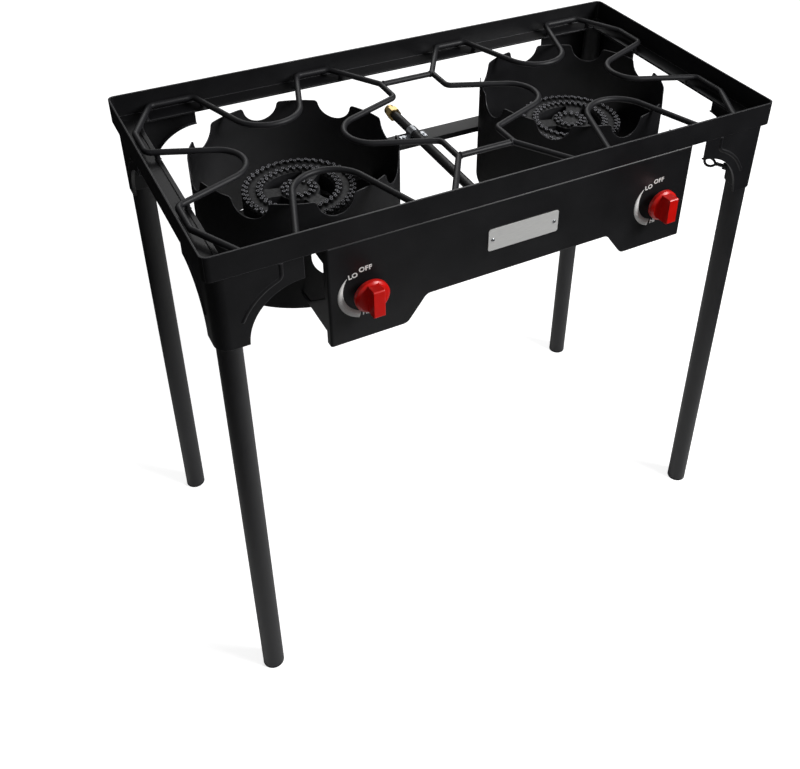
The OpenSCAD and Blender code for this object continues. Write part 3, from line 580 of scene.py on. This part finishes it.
def swept_tube(path: np.ndarray, radius: float, sides: int, up: np.ndarray) -> np.ndarray:
    """Sweeps a circle along a path that lies square to one direction.

    P(i, t) = path(i) + r (cos t * side(i) + sin t * up), where side is up
    crossed with the path's heading.

    Args:
        path: n x 3 points.
        radius: the tube's radius.
        sides: points round the tube.
        up: unit vector square, or nearly so, to the whole path.

    Returns:
        n x sides x 3 points.
    """
    heading = np.gradient(path, axis=0)
    heading = heading / np.linalg.norm(heading, axis=1, keepdims=True)
    side = np.cross(up, heading)
    side = side / np.linalg.norm(side, axis=1, keepdims=True)
    turn = np.linspace(0, 2 * math.pi, sides, endpoint=False)
    ring = np.cos(turn)[None, :, None] * side[:, None, :] + np.sin(turn)[None, :, None] * up
    return path[:, None, :] + radius * ring


def on_axis(height: np.ndarray, radii: np.ndarray, origin: np.ndarray, axis: np.ndarray) -> np.ndarray:
    """Places a height-and-radius surface round an axis.

    P(i, t) = origin + a(i) axis + r(i, t) (cos t * u + sin t * v), where u and
    v complete the axis to a right-handed frame.

    Args:
        height: rows of distances along the axis.
        radii: rows x columns of radii.
        origin: where the axis starts.
        axis: unit vector along it.

    Returns:
        rows x columns x 3 points.
    """
    helper = np.array([0.0, 0.0, 1.0]) if abs(axis[2]) < 0.9 else np.array([1.0, 0.0, 0.0])
    u = np.cross(helper, axis)
    u = u / np.linalg.norm(u)
    v = np.cross(axis, u)
    turn = np.linspace(0, 2 * math.pi, radii.shape[1], endpoint=False)
    ring = np.cos(turn)[:, None] * u + np.sin(turn)[:, None] * v
    return origin + height[:, None, None] * axis + radii[:, :, None] * ring[None]


def revolved(profile: np.ndarray, origin: np.ndarray, axis: np.ndarray, sides: int) -> np.ndarray:
    """Turns a profile about an axis.

    Args:
        profile: n x 2 pairs of (distance along the axis, radius).
        origin: a point on the axis.
        axis: unit vector along it.
        sides: points round it.

    Returns:
        n x sides x 3 points.
    """
    return on_axis(profile[:, 0], np.repeat(profile[:, 1:], sides, axis=1), origin, axis)


def smooth_curve(bends: np.ndarray, steps: int) -> np.ndarray:
    """Catmull-Rom curve through a list of points.

    Between b and c, with neighbours a and d, P(t) = (2b + (c - a) t
    + (2a - 5b + 4c - d) t^2 + (3b - a - 3c + d) t^3) / 2.

    Args:
        bends: n x 3 points that it passes through.
        steps: samples from each point to the next.

    Returns:
        ((n - 1) * steps + 1) x 3 points.
    """
    padded = np.concatenate([2 * bends[:1] - bends[1:2], bends, 2 * bends[-1:] - bends[-2:-1]])
    a, b, c, d = (padded[i : len(padded) - 3 + i, None, :] for i in range(4))
    t = (np.arange(steps) / steps)[None, :, None]
    square, cube = 2 * a - 5 * b + 4 * c - d, 3 * b - a - 3 * c + d
    curve = 0.5 * (2 * b + (c - a) * t + square * t**2 + cube * t**3)
    return np.concatenate([curve.reshape(-1, 3), bends[-1:]])


def bead_profile(radius: float, height: float, width: float) -> np.ndarray:
    """Outline of a ring of round section, or of a flattened one.

    The points are (height sin t, radius + width cos t).

    Args:
        radius: the ring's middle radius.
        height: half height of its section.
        width: half width of its section.

    Returns:
        8 x 2 pairs of (height, radius).
    """
    turn = np.linspace(0, 2 * math.pi, 8, endpoint=False)
    return np.stack([height * np.sin(turn), radius + width * np.cos(turn)], axis=1)


def copies(
    name: str,
    profile: np.ndarray,
    places: np.ndarray,
    sides: int,
    close_rows: bool,
    axis: tuple[float, float, float] = (0.0, 0.0, 1.0),
) -> bpy.types.Object:
    """Sets one revolved form at many places, as one mesh.

    Args:
        name: the object's name.
        profile: n x 2 pairs of (height, radius), from the foot round the form.
        places: m x 3 feet of the copies, in millimetres.
        sides: points round each copy.
        close_rows: the profile's end meets its start, as for a bead.
        axis: unit vector that each copy stands along.

    Returns:
        The new object, smooth-shaded, at the origin.
    """
    form = revolved(profile, np.zeros(3), np.array(axis), sides)
    quads = wrapped_quads(len(profile), sides, close_rows)
    step = np.arange(len(places))[:, None] * len(profile) * sides
    faces = (quads[None] + step[:, :, None]).reshape(-1, 4).tolist()
    if not close_rows:
        foot = np.arange(sides)
        top = foot + (len(profile) - 1) * sides
        faces += (foot[::-1] + step).tolist() + (top + step).tolist()
    return smooth_object(name, places[:, None, :] + form.reshape(1, -1, 3), faces)


def threaded(
    radius: float, pitch: float, length: float, depth: float, run_out: float
) -> tuple[np.ndarray, np.ndarray]:
    """Surface of a screw thread, in its own frame along +Z.

    r(z, t) = radius - depth (1 - (1 - w) f), where w is a triangle wave of
    z / pitch - t / 2 pi, and f falls from 1 to 0 over run_out turns at each
    end.

    Args:
        radius: crest radius.
        pitch: advance in one turn.
        length: length of the thread.
        depth: depth from crest to root.
        run_out: turns over which the thread runs out.

    Returns:
        Heights (rows) and radii (rows x columns).
    """
    rows = max(int(length / pitch * 8), 12)
    height = np.linspace(0, length, rows)
    turn = np.linspace(0, 1, 32, endpoint=False)
    phase = (height[:, None] / pitch - turn[None]) % 1.0
    wave = 1 - np.abs(2 * phase - 1)
    fade = np.clip(np.minimum(height, length - height) / (pitch * run_out), 0, 1)
    return height, radius - depth * (1 - (1 - wave) * fade[:, None])


def joined(name: str, parts: list[bpy.types.Object]) -> bpy.types.Object:
    """Joins objects into one mesh.

    Args:
        name: name of the joined object.
        parts: the objects, which are used up.

    Returns:
        The joined object.
    """
    bpy.ops.object.select_all(action="DESELECT")
    for part in parts:
        part.select_set(True)
    bpy.context.view_layer.objects.active = parts[0]
    bpy.ops.object.join()
    whole = bpy.context.view_layer.objects.active
    whole.name = name
    whole.data.name = name
    return whole


def dress(piece: bpy.types.Object, material: bpy.types.Material) -> None:
    """Gives a piece one material, and reports it."""
    piece.data.materials.clear()
    piece.data.materials.append(material)
    LOG.info("%s: %s", piece.name, material.name)


def dress_node(frame: dict, node: str, material: bpy.types.Material) -> None:
    """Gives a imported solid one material, in the slots that it has."""
    piece = frame["nodes"][node]
    if not piece.material_slots:
        piece.data.materials.append(material)
    for place in piece.material_slots:
        place.material = material
    LOG.info("%s: %s", node, material.name)


def box_mm(node: str) -> tuple[np.ndarray, np.ndarray]:
    """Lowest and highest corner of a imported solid, in millimetres."""
    low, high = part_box(node)
    return np.array(low) / MM, np.array(high) / MM


# --------------------------------------------------------------------------
# Sub-assemblies


@dataclass
class RimAndCorners:
    """The welded rim, its corner brackets, clips and nuts."""

    frame: dict
    coat: bpy.types.Material

    def build(self) -> None:
        """Dresses the rim and the brackets."""
        for end in ("front", "back", "left", "right"):
            dress_node(self.frame, f"rail_{end}", self.coat)
        for corner in Corner:
            dress_node(self.frame, f"corner_bracket_{corner.word}", self.coat)
            dress_node(self.frame, f"leg_clip_{corner.word}", self.coat)
        dress_node(self.frame, "weld_nuts", self.coat)


@dataclass
class Legs:
    """Tube legs with their foot plugs."""

    frame: dict
    coat: bpy.types.Material
    plug: bpy.types.Material

    def build(self) -> None:
        """Dresses the tubes and the plugs."""
        for corner in Corner:
            dress_node(self.frame, f"leg_{corner.word}", self.coat)
            dress_node(self.frame, f"foot_plug_{corner.word}", self.plug)


@dataclass
class Thumbscrews:
    """Wire-eye thumbscrews with a cut thread on each shank.

    A screw's own frame has x along its axis, outward from the leg's middle,
    and z up. Its eye is one length of wire: it leaves the end of the shank,
    crosses itself, goes round and comes back.
    """

    frame: dict
    steel: bpy.types.Material
    leg: tuple[float, float] = (369.0, 181.0)
    clip_z: float = 614.0
    middle_y: float = 15.01
    heading: float = math.radians(240.0)
    shank: tuple[float, float] = (14.9, 30.0)
    shank_radius: float = 2.95
    pitch: float = 1.27
    thread_depth: float = 0.55
    thread_run_out: float = 0.8
    eye_middle: float = 42.5
    wire_radius: float = 1.9

    def build(self) -> None:
        """Makes the four screws."""
        for corner in Corner:
            sx, sy = corner.value
            foot = np.array([sx * self.leg[0], self.middle_y + sy * self.leg[1], self.clip_z])
            along = np.array([sx * math.cos(self.heading), sy * math.sin(self.heading), 0.0])
            start, end = self.shank
            height, radii = threaded(
                self.shank_radius, self.pitch, end - start, self.thread_depth, self.thread_run_out
            )
            shank = tube_mesh("shank", on_axis(height, radii, foot + start * along, along))
            neck = tube_mesh("neck", revolved(self.neck_profile(), foot, along, 24))
            eye = tube_mesh("eye", self.eye(foot, along))
            node = f"thumbscrew_{corner.word}"
            screw = joined(f"wire_eye_screw_{corner.word}", [shank, neck, eye])
            dress(screw, self.steel)
            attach(screw, node)
            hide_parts(node)

    def neck_profile(self) -> np.ndarray:
        """Outline of the plain end where the wire is pressed into the shank."""
        past_end = np.array([[-0.6, 1.9], [-0.3, 2.3], [1.6, 2.3], [2.2, 2.1], [2.6, 1.5]])
        return past_end + [self.shank[1], 0.0]

    def eye(self, foot: np.ndarray, along: np.ndarray) -> np.ndarray:
        """The wire, swept along a smooth curve through its bends.

        The wire is a round tube along a Catmull-Rom curve through the bends
        below, which are given along the screw, upward and across.

        Args:
            foot: the leg's middle at the screw's height.
            along: the screw's axis.

        Returns:
            rows x columns x 3 points.
        """
        across = np.array([-along[1], along[0], 0.0])
        up = np.array([0.0, 0.0, 1.0])
        end, middle = self.shank[1], self.eye_middle
        half = np.array(
            [
                [end + 0.3, -0.8, 0.9],
                [end + 1.4, -0.5, 1.4],
                [end + 3.2, 1.6, 1.2],
                [middle - 6.6, 4.4, 0.5],
                [middle - 3.0, 6.2, 0.0],
                [middle + 1.4, 6.5, 0.0],
                [middle + 4.9, 4.6, 0.0],
            ]
        )
        tip = np.array([[middle + 6.65, 0.0, 0.0]])
        bends = np.concatenate([half, tip, half[::-1] * [1.0, -1.0, -1.0]])
        path = smooth_curve(bends, 6)
        points = foot + path[:, :1] * along + path[:, 1:2] * up + path[:, 2:] * across
        return swept_tube(points, self.wire_radius, 12, across)


@dataclass
class PotGrates:
    """Bent rods, the short rods that tie them, and their weld beads.

    Feet are given for the right grate, from its middle. The left one mirrors
    it, so its inner side faces the right one's.
    """

    frame: dict
    coat: bpy.types.Material
    middle: tuple[float, float] = (208.5, 20.01)
    rod_z: float = 704.0
    flange_z: float = 694.15
    link: tuple[float, float] = (36.3, 110.0)
    side_foot: tuple[float, float] = (155.5, 62.1)
    front_feet: tuple[float, ...] = (70.6, 136.4, -70.6, -126.3)
    back_feet: tuple[float, ...] = (67.3, 141.7, -67.3, -132.6)
    feet_y: tuple[float, float] = (178.5, 168.5)
    collar_radius: float = 3.1
    bead_radius: float = 3.9
    bead_height: float = 1.1
    link_bead_height: float = 1.3

    def build(self) -> None:
        """Dresses the rods and lays the beads."""
        for side in Side:
            for end in ("front", "back"):
                dress_node(self.frame, f"pot_grate_{side.word}_{end}", self.coat)
        dress_node(self.frame, "grate_links", self.coat)
        x, y = self.middle
        front, back = self.feet_y
        feet = [(dx, -front) for dx in self.front_feet] + [(dx, back) for dx in self.back_feet]
        feet += [(self.side_foot[0], sign * self.side_foot[1]) for sign in (-1, 1)]
        places = np.array(
            [[side.value * (x + dx), y + dy, self.flange_z + 0.3] for side in Side for dx, dy in feet]
        )
        collar = bead_profile(self.collar_radius, self.bead_height, self.bead_height)
        ends = np.array(
            [[sx * self.link[0], y + sy * self.link[1], self.rod_z] for sx in (-1, 1) for sy in (-1, 1)]
        )
        bead = bead_profile(self.bead_radius, self.link_bead_height, self.bead_height)
        beads = joined(
            "grate_weld_beads",
            [
                copies("collars", collar, places, 16, True),
                copies("beads", bead, ends, 16, True, axis=(1.0, 0.0, 0.0)),
            ],
        )
        dress(beads, self.coat)
        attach(beads, "stand")


@dataclass(frozen=True)
class PortRow:
    """One circle of gas ports.

    A solid row is in the casting already. A drawn one stands between two
    solid ones, half a step round from them, and seat is its foot's height
    above the ring's top.
    """

    radius: float
    count: int
    seat: float
    solid: bool

    def places(self) -> np.ndarray:
        """Middle of each port's foot, from the burner's axis and the ring's top."""
        step = np.arange(self.count) + (0.0 if self.solid else 0.5)
        turn = 2 * math.pi * step / self.count
        return np.stack(
            [self.radius * np.cos(turn), self.radius * np.sin(turn), np.full(self.count, self.seat)],
            axis=1,
        )


@dataclass
class Burners:
    """Wind guards with the castings and what carries them.

    The solids carry every other row of ports. Each of those gets a pale ring
    here, a painted highlight on the port's rim, and the rows between them are
    drawn as cups with such a ring and a hole.
    """

    frame: dict
    sheet: bpy.types.Material
    iron: bpy.types.Material
    lip: bpy.types.Material
    zinc: bpy.types.Material
    middle_y: float = 20.51
    port_height: float = 3.5
    lip_radius: float = 1.8
    lip_half: float = 0.45
    lip_sink: float = 0.15
    rows: tuple[PortRow, ...] = (
        PortRow(52.0, 35, 0.0, True),
        PortRow(66.5, 44, 0.0, True),
        PortRow(21.0, 14, -1.0, True),
        PortRow(48.2, 35, -0.6, False),
        PortRow(70.2, 44, -0.6, False),
        PortRow(15.6, 11, -1.0, False),
    )
    cup: tuple[tuple[float, float], ...] = (
        (-1.5, 2.9),
        (1.0, 2.6),
        (3.2, 2.25),
        (3.45, 2.0),
        (3.4, 1.5),
        (1.6, 1.35),
        (-1.2, 1.3),
    )

    def build(self) -> None:
        """Dresses both burners."""
        for side in Side:
            dress_node(self.frame, f"wind_guard_{side.word}", self.sheet)
            dress_node(self.frame, f"burner_casting_{side.word}", self.iron)
            dress_node(self.frame, f"burner_strap_{side.word}", self.sheet)
            dress_node(self.frame, f"air_shutter_{side.word}", self.zinc)
            self.ports(side)
        dress_node(self.frame, "burner_bolts", self.zinc)

    def ports(self, side: Side) -> None:
        """Adds the lips of one burner's ports, and the rows between them."""
        low, high = box_mm(f"burner_casting_{side.word}")
        foot = np.array([(low[0] + high[0]) / 2, self.middle_y, high[2] - self.port_height])
        lip_foot = foot + [0.0, 0.0, self.port_height - self.lip_sink]
        lips = np.concatenate([row.places() for row in self.rows]) + lip_foot
        cups = np.concatenate([row.places() for row in self.rows if not row.solid]) + foot
        bead = bead_profile(self.lip_radius, self.lip_half, self.lip_half)
        rings = copies(f"port_lips_{side.word}", bead, lips, 14, close_rows=True)
        drawn = copies(f"port_cups_{side.word}", np.array(self.cup), cups, 14, close_rows=False)
        # The lips take the pale iron, a painted highlight on the ports' rims.
        for piece, finish in ((rings, self.lip), (drawn, self.iron)):
            dress(piece, finish)
            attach(piece, "stand")


@dataclass
class GasLine:
    """Pipes, valves, jets, the brass inlet and the clamped cross bar."""

    frame: dict
    coat: bpy.types.Material
    brass: bpy.types.Material
    zinc: bpy.types.Material

    def build(self) -> None:
        """Dresses the gas line."""
        for node in ("manifold_pipe", "gas_pipe", "cross_bar"):
            dress_node(self.frame, node, self.coat)
        for node in ("pipe_clamp", "clamp_screws"):
            dress_node(self.frame, node, self.zinc)
        for node in ("inlet_fitting", "gas_jets"):
            dress_node(self.frame, node, self.brass)
        for side in Side:
            dress_node(self.frame, f"valve_{side.word}", self.brass)
            dress_node(self.frame, f"valve_stem_{side.word}", self.brass)


@dataclass
class ControlPanel:
    """The panel with its bare plate and two printed dials."""

    frame: dict
    coat: bpy.types.Material
    plate: bpy.types.Material
    zinc: bpy.types.Material
    ink: bpy.types.Material
    ink_lift: float = 0.06
    letter_height: float = 6.3
    capital_share: float = 0.72
    letter_stroke: float = 0.32
    letter_space: float = 1.08
    crescent_turn: tuple[float, float] = (136.0, 252.0)
    crescent_outer: float = 37.4
    crescent_inner: float = 27.7
    words: tuple[tuple[str, float, float, float], ...] = (
        ("OFF", -2.0, 31.2, 3.0),
        ("LO", -17.6, 25.4, 8.0),
        ("HI", -3.0, -30.6, 0.0),
    )

    def build(self) -> None:
        """Dresses the panel and prints its dials."""
        dress_node(self.frame, "control_panel", self.coat)
        dress_node(self.frame, "nameplate", self.plate)
        dress_node(self.frame, "nameplate_rivets", self.zinc)
        dress_node(self.frame, "bonnet_nuts", self.zinc)
        face = box_mm("control_panel")[0][1]
        for side in Side:
            low, high = box_mm(f"valve_stem_{side.word}")
            centre = (low + high) / 2
            parts = [self.crescent(side, centre[0], face, centre[2])]
            parts += [self.word(text, centre[0], face, centre[2], *place) for text, *place in self.words]
            dial = joined(f"dial_print_{side.word}", parts)
            dress(dial, self.ink)
            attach(dial, "stand")

    def crescent(self, side: Side, x: float, face: float, z: float) -> bpy.types.Object:
        """The swelling band from LO round to HI.

        With u the share of the angle still to go, the outer radius is a
        circle's up to u = 0.45 and draws in by 2.7 from there as a square, and
        the inner one grows by 6.7 u^2.1.

        Args:
            side: which dial.
            x: the knob's axis along X.
            face: the panel's face along Y.
            z: the knob's axis along Z.

        Returns:
            A thin closed band, just proud of the panel.
        """
        start, end = self.crescent_turn
        turn = np.linspace(start, end, 60)
        left = (end - turn) / (end - start)
        outer = self.crescent_outer - 2.7 * np.clip((left - 0.45) / 0.55, 0, 1) ** 2
        inner = self.crescent_inner + 6.7 * left**2.1
        circle = np.stack([np.cos(np.radians(turn)), np.sin(np.radians(turn))], axis=1)
        edge = [(outer, 0.0), (inner, 0.0), (inner, self.ink_lift), (outer, self.ink_lift)]
        points = np.stack(
            [
                np.stack(
                    [x + r * circle[:, 0], np.full(len(turn), face - lift), z + r * circle[:, 1]], axis=1
                )
                for r, lift in edge
            ],
            axis=1,
        )
        return tube_mesh(f"crescent_{side.word}", points)

    def word(
        self, text: str, x: float, face: float, z: float, dx: float, dz: float, tilt: float
    ) -> bpy.types.Object:
        """One word of the dial, as a thin mesh standing on the panel.

        Args:
            text: the letters.
            x: the knob's axis along X.
            face: the panel's face along Y.
            z: the knob's axis along Z.
            dx: the word's middle to the right of the axis.
            dz: the word's middle above the axis.
            tilt: how far the word turns from level, in degrees.

        Returns:
            The word's mesh, in place.
        """
        curve = bpy.data.curves.new(text, "FONT")
        curve.body = text
        curve.size = self.letter_height / self.capital_share * MM
        curve.offset = self.letter_stroke * MM
        curve.extrude = self.ink_lift / 2 * MM
        curve.align_x = "CENTER"
        curve.align_y = "CENTER"
        curve.space_character = self.letter_space
        holder = bpy.data.objects.new(text, curve)
        bpy.context.scene.collection.objects.link(holder)
        bpy.context.view_layer.update()
        graph = bpy.context.evaluated_depsgraph_get()
        mesh = bpy.data.meshes.new_from_object(holder.evaluated_get(graph))
        bpy.data.objects.remove(holder)
        middle = Matrix.Translation(((x + dx) * MM, (face - self.ink_lift / 2) * MM, (z + dz) * MM))
        upright = Matrix.Rotation(math.radians(90), 4, "X")
        mesh.transform(middle @ upright @ Matrix.Rotation(math.radians(tilt), 4, "Z"))
        made = bpy.data.objects.new(text, mesh)
        bpy.context.scene.collection.objects.link(made)
        return made


@dataclass
class Knobs:
    """Moulded knobs: a round skirt with a bar grip across its face."""

    frame: dict
    plastic: bpy.types.Material

    def build(self) -> None:
        """Dresses the knobs."""
        for side in Side:
            dress_node(self.frame, f"knob_{side.word}", self.plastic)


# --------------------------------------------------------------------------
# Studio


@dataclass(frozen=True)
class SoftLamp:
    """A round soft lamp: its place, aim and size in metres, and its watts."""

    name: str
    place: tuple[float, float, float]
    aim: tuple[float, float, float]
    size: float
    power: float

    def hang(self) -> None:
        """Makes the lamp, turned to what it lights."""
        lamp = bpy.data.lights.new(self.name, "AREA")
        lamp.shape = "DISK"
        lamp.size = self.size
        lamp.energy = self.power
        holder = bpy.data.objects.new(self.name, lamp)
        look = Vector(self.place) - Vector(self.aim)
        turn = look.to_track_quat("Z", "Y").to_matrix().to_4x4()
        holder.matrix_world = Matrix.Translation(self.place) @ turn
        bpy.context.scene.collection.objects.link(holder)


@dataclass
class Studio:
    """Pale floor, soft lamps and the camera.

    The camera is given by its focal length and principal point in pixels of
    an 800 x 769 frame, its heading, tilt and roll in radians, and its place in
    millimetres. What the coat mirrors of the floor is a painted pool of light:
    bright for floor_pool metres round the stand, falling off to floor_edge.
    """

    width: int = 800
    height: int = 769
    focal: float = 994.796
    centre: tuple[float, float] = (464.062, 234.158)
    heading: float = -0.532
    tilt: float = 0.604
    roll: float = 0.034
    eye: tuple[float, float, float] = (-569.914, -1010.976, 1320.477)
    sensor_width: float = 36.0
    view_end: float = 50.0
    floor_half: float = 12.0
    floor_pool: float = 0.6
    floor_edge: float = 0.92
    floor_span: float = 2.0
    floor_glow: float = 0.72
    world_light: float = 0.15
    soft_lamps: tuple[SoftLamp, ...] = (
        SoftLamp("key", (1.7, -1.9, 2.2), (0.1, 0.0, 0.5), 1.2, 72.0),
        SoftLamp("top", (1.3, 2.6, 2.6), (0.0, 0.0, 0.6), 2.2, 30.0),
        SoftLamp("fill", (-2.4, -2.6, 1.6), (0.0, 0.0, 0.4), 1.6, 1.5),
    )

    def build(self) -> None:
        """Makes the camera, the floor, the lamps and the world."""
        self.camera()
        self.floor()
        for lamp in self.soft_lamps:
            lamp.hang()
        self.world()
        bpy.context.scene.view_settings.view_transform = "Standard"

    def camera(self) -> None:
        """Makes the camera, and the scene's view of it."""
        sh, ch = math.sin(self.heading), math.cos(self.heading)
        st, ct = math.sin(self.tilt), math.cos(self.tilt)
        back = np.array([sh * ct, -ch * ct, st])
        right = np.array([ch, sh, 0.0])
        up = np.cross(back, right)
        rolled_right = right * math.cos(self.roll) + up * math.sin(self.roll)
        rolled_up = -right * math.sin(self.roll) + up * math.cos(self.roll)
        lens = bpy.data.cameras.new("camera")
        lens.sensor_width = self.sensor_width
        lens.lens = self.focal / self.width * self.sensor_width
        lens.shift_x = (self.width / 2 - self.centre[0]) / self.width
        lens.shift_y = (self.centre[1] - self.height / 2) / self.width
        lens.clip_end = self.view_end
        stand = bpy.data.objects.new("camera", lens)
        turn = Matrix([[rolled_right[i], rolled_up[i], back[i]] for i in range(3)]).to_4x4()
        stand.matrix_world = Matrix.Translation([c * MM for c in self.eye]) @ turn
        bpy.context.scene.collection.objects.link(stand)
        bpy.context.scene.camera = stand

    def floor(self) -> None:
        """Makes the floor: white to the camera, but it keeps a soft shadow."""
        half = self.floor_half
        corners = [(-half, -half, 0), (half, -half, 0), (half, half, 0), (-half, half, 0)]
        mesh = bpy.data.meshes.new("floor")
        mesh.from_pydata(corners, [], [(0, 1, 2, 3)])
        slab = bpy.data.objects.new("floor", mesh)
        bpy.context.scene.collection.objects.link(slab)
        material, tree = blank_material("pale floor")
        seen = add_node(tree, "ShaderNodeLightPath")
        place = add_node(tree, "ShaderNodeTexCoord")
        reach = add_node(tree, "ShaderNodeVectorMath", {0: (place, "Object")}, operation="LENGTH")
        part = add_node(
            tree, "ShaderNodeMath", {0: (reach, "Value"), 1: self.floor_span}, operation="DIVIDE"
        )
        # Painted pool of light, seen only in reflections and bounce: pale round the stand, dark beyond.
        sheet = add_node(
            tree,
            "ShaderNodeValToRGB",
            {"Fac": (part, "Value")},
            stops=(
                (self.floor_pool / self.floor_span, "#ececec"),
                (self.floor_edge / self.floor_span, "#1c1c1c"),
            ),
        )
        paint = add_node(tree, "ShaderNodeBsdfDiffuse", {"Color": linear("#f4f4f4")})
        pool = add_node(tree, "ShaderNodeBsdfDiffuse", {"Color": (sheet, "Color")})
        glow = add_node(
            tree, "ShaderNodeEmission", {"Color": linear("#ffffff"), "Strength": self.floor_glow}
        )
        both = add_node(tree, "ShaderNodeAddShader", {0: (paint, "BSDF"), 1: (glow, "Emission")})
        mix = add_node(
            tree,
            "ShaderNodeMixShader",
            {"Fac": (seen, "Is Camera Ray"), 1: (pool, "BSDF"), 2: (both, "Shader")},
        )
        add_node(tree, "ShaderNodeOutputMaterial", {"Surface": (mix, "Shader")})
        dress(slab, material)

    def world(self) -> None:
        """White behind everything, and a dimmer even light on the stand."""
        world = bpy.data.worlds.new("studio")
        bpy.context.scene.world = world
        world.use_nodes = True
        tree = world.node_tree
        tree.nodes.clear()
        white = linear("#ffffff")
        path = add_node(tree, "ShaderNodeLightPath")
        shown = add_node(tree, "ShaderNodeBackground", {"Color": white, "Strength": 1.0})
        light = add_node(tree, "ShaderNodeBackground", {"Color": white, "Strength": self.world_light})
        mix = add_node(
            tree,
            "ShaderNodeMixShader",
            {"Fac": (path, "Is Camera Ray"), 1: (light, "Background"), 2: (shown, "Background")},
        )
        add_node(tree, "ShaderNodeOutputWorld", {"Surface": (mix, "Shader")})


def main() -> None:
    """Loads the stand, dresses each sub-assembly and lights the result."""
    logging.basicConfig(level=logging.INFO, format="%(name)s: %(message)s")
    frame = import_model()

    satin = PowderCoat("satin black powder coat").build()
    # Thinner on welded tube: a little greyer, with a broader sheen.
    leg_coat = PowderCoat(
        "matt black powder coat", "#1b1b1d", "#232325", roughness=0.46, specular=0.5
    ).build()
    # Sheared edges, softly rounded by the coat and painted darker than it: a painted shade that dims
    # their highlight.
    panel_coat = PowderCoat(
        "satin black powder coat on panel", rubbed="#101011", edge_mm=2.2
    ).build()
    # Bent rod keeps some scale under its coat, which leaves it duller.
    rod_coat = PowderCoat(
        "satin black powder coat on rod", "#1c1c1f", "#252528", roughness=0.5, specular=0.4
    ).build()
    # Chemically blackened, so it is thin and glossier than any coat.
    black_steel = PowderCoat(
        "black oxide steel", "#1d1d1f", "#303033", roughness=0.38, specular=0.5
    ).build()
    iron = EnamelledIron().build()
    # The ports' lips are pale grey: a painted highlight on their rims, with a painted shade in their
    # gaps.
    lip = EnamelledIron(
        "rubbed iron",
        "#7c7c82",
        "#b4b4ba",
        specular=0.6,
        sand_mm=0.7,
        sand_depth_mm=0.1,
        thick="#4a4a4e",
    ).build()
    # Turned on a lathe, so its lines run round it.
    brass = BareMetal(
        "turned brass", "#dcc48c", "#b0935a", roughness=0.3, stretch=(0.3, 4.0, 0.3)
    ).build()
    # Barrel-plated: bright, bluish, with no direction.
    zinc = BareMetal("bright zinc plate", "#dfe2e6", "#b4b8bd", roughness=0.3).build()
    # Brushed along its length under a clear lacquer, which greys its mirror.
    plate = BareMetal(
        "brushed aluminium",
        "#ececea",
        "#dededc",
        roughness=0.5,
        metallic=0.3,
        line_mm=0.5,
        stretch=(0.04, 1.0, 1.0),
    ).build()
    # Waxy and scuffed by the floor.
    foot = MouldedPlastic(
        "moulded black polyethylene", "#2a2a2c", "#202022", roughness=0.6, specular=0.3
    ).build()
    # Glossy from a polished tool, with soft edges.
    red = MouldedPlastic("moulded red ABS", "#e6140c", "#dc120a", roughness=0.3).build()
    ink = ScreenPrint().build()

    RimAndCorners(frame, satin).build()
    Legs(frame, leg_coat, foot).build()
    Thumbscrews(frame, black_steel).build()
    PotGrates(frame, rod_coat).build()
    Burners(frame, satin, iron, lip, zinc).build()
    GasLine(frame, leg_coat, brass, zinc).build()
    ControlPanel(frame, panel_coat, plate, zinc, ink).build()
    Knobs(frame, red).build()
    Studio().build()


if __name__ == "__main__":
    main()
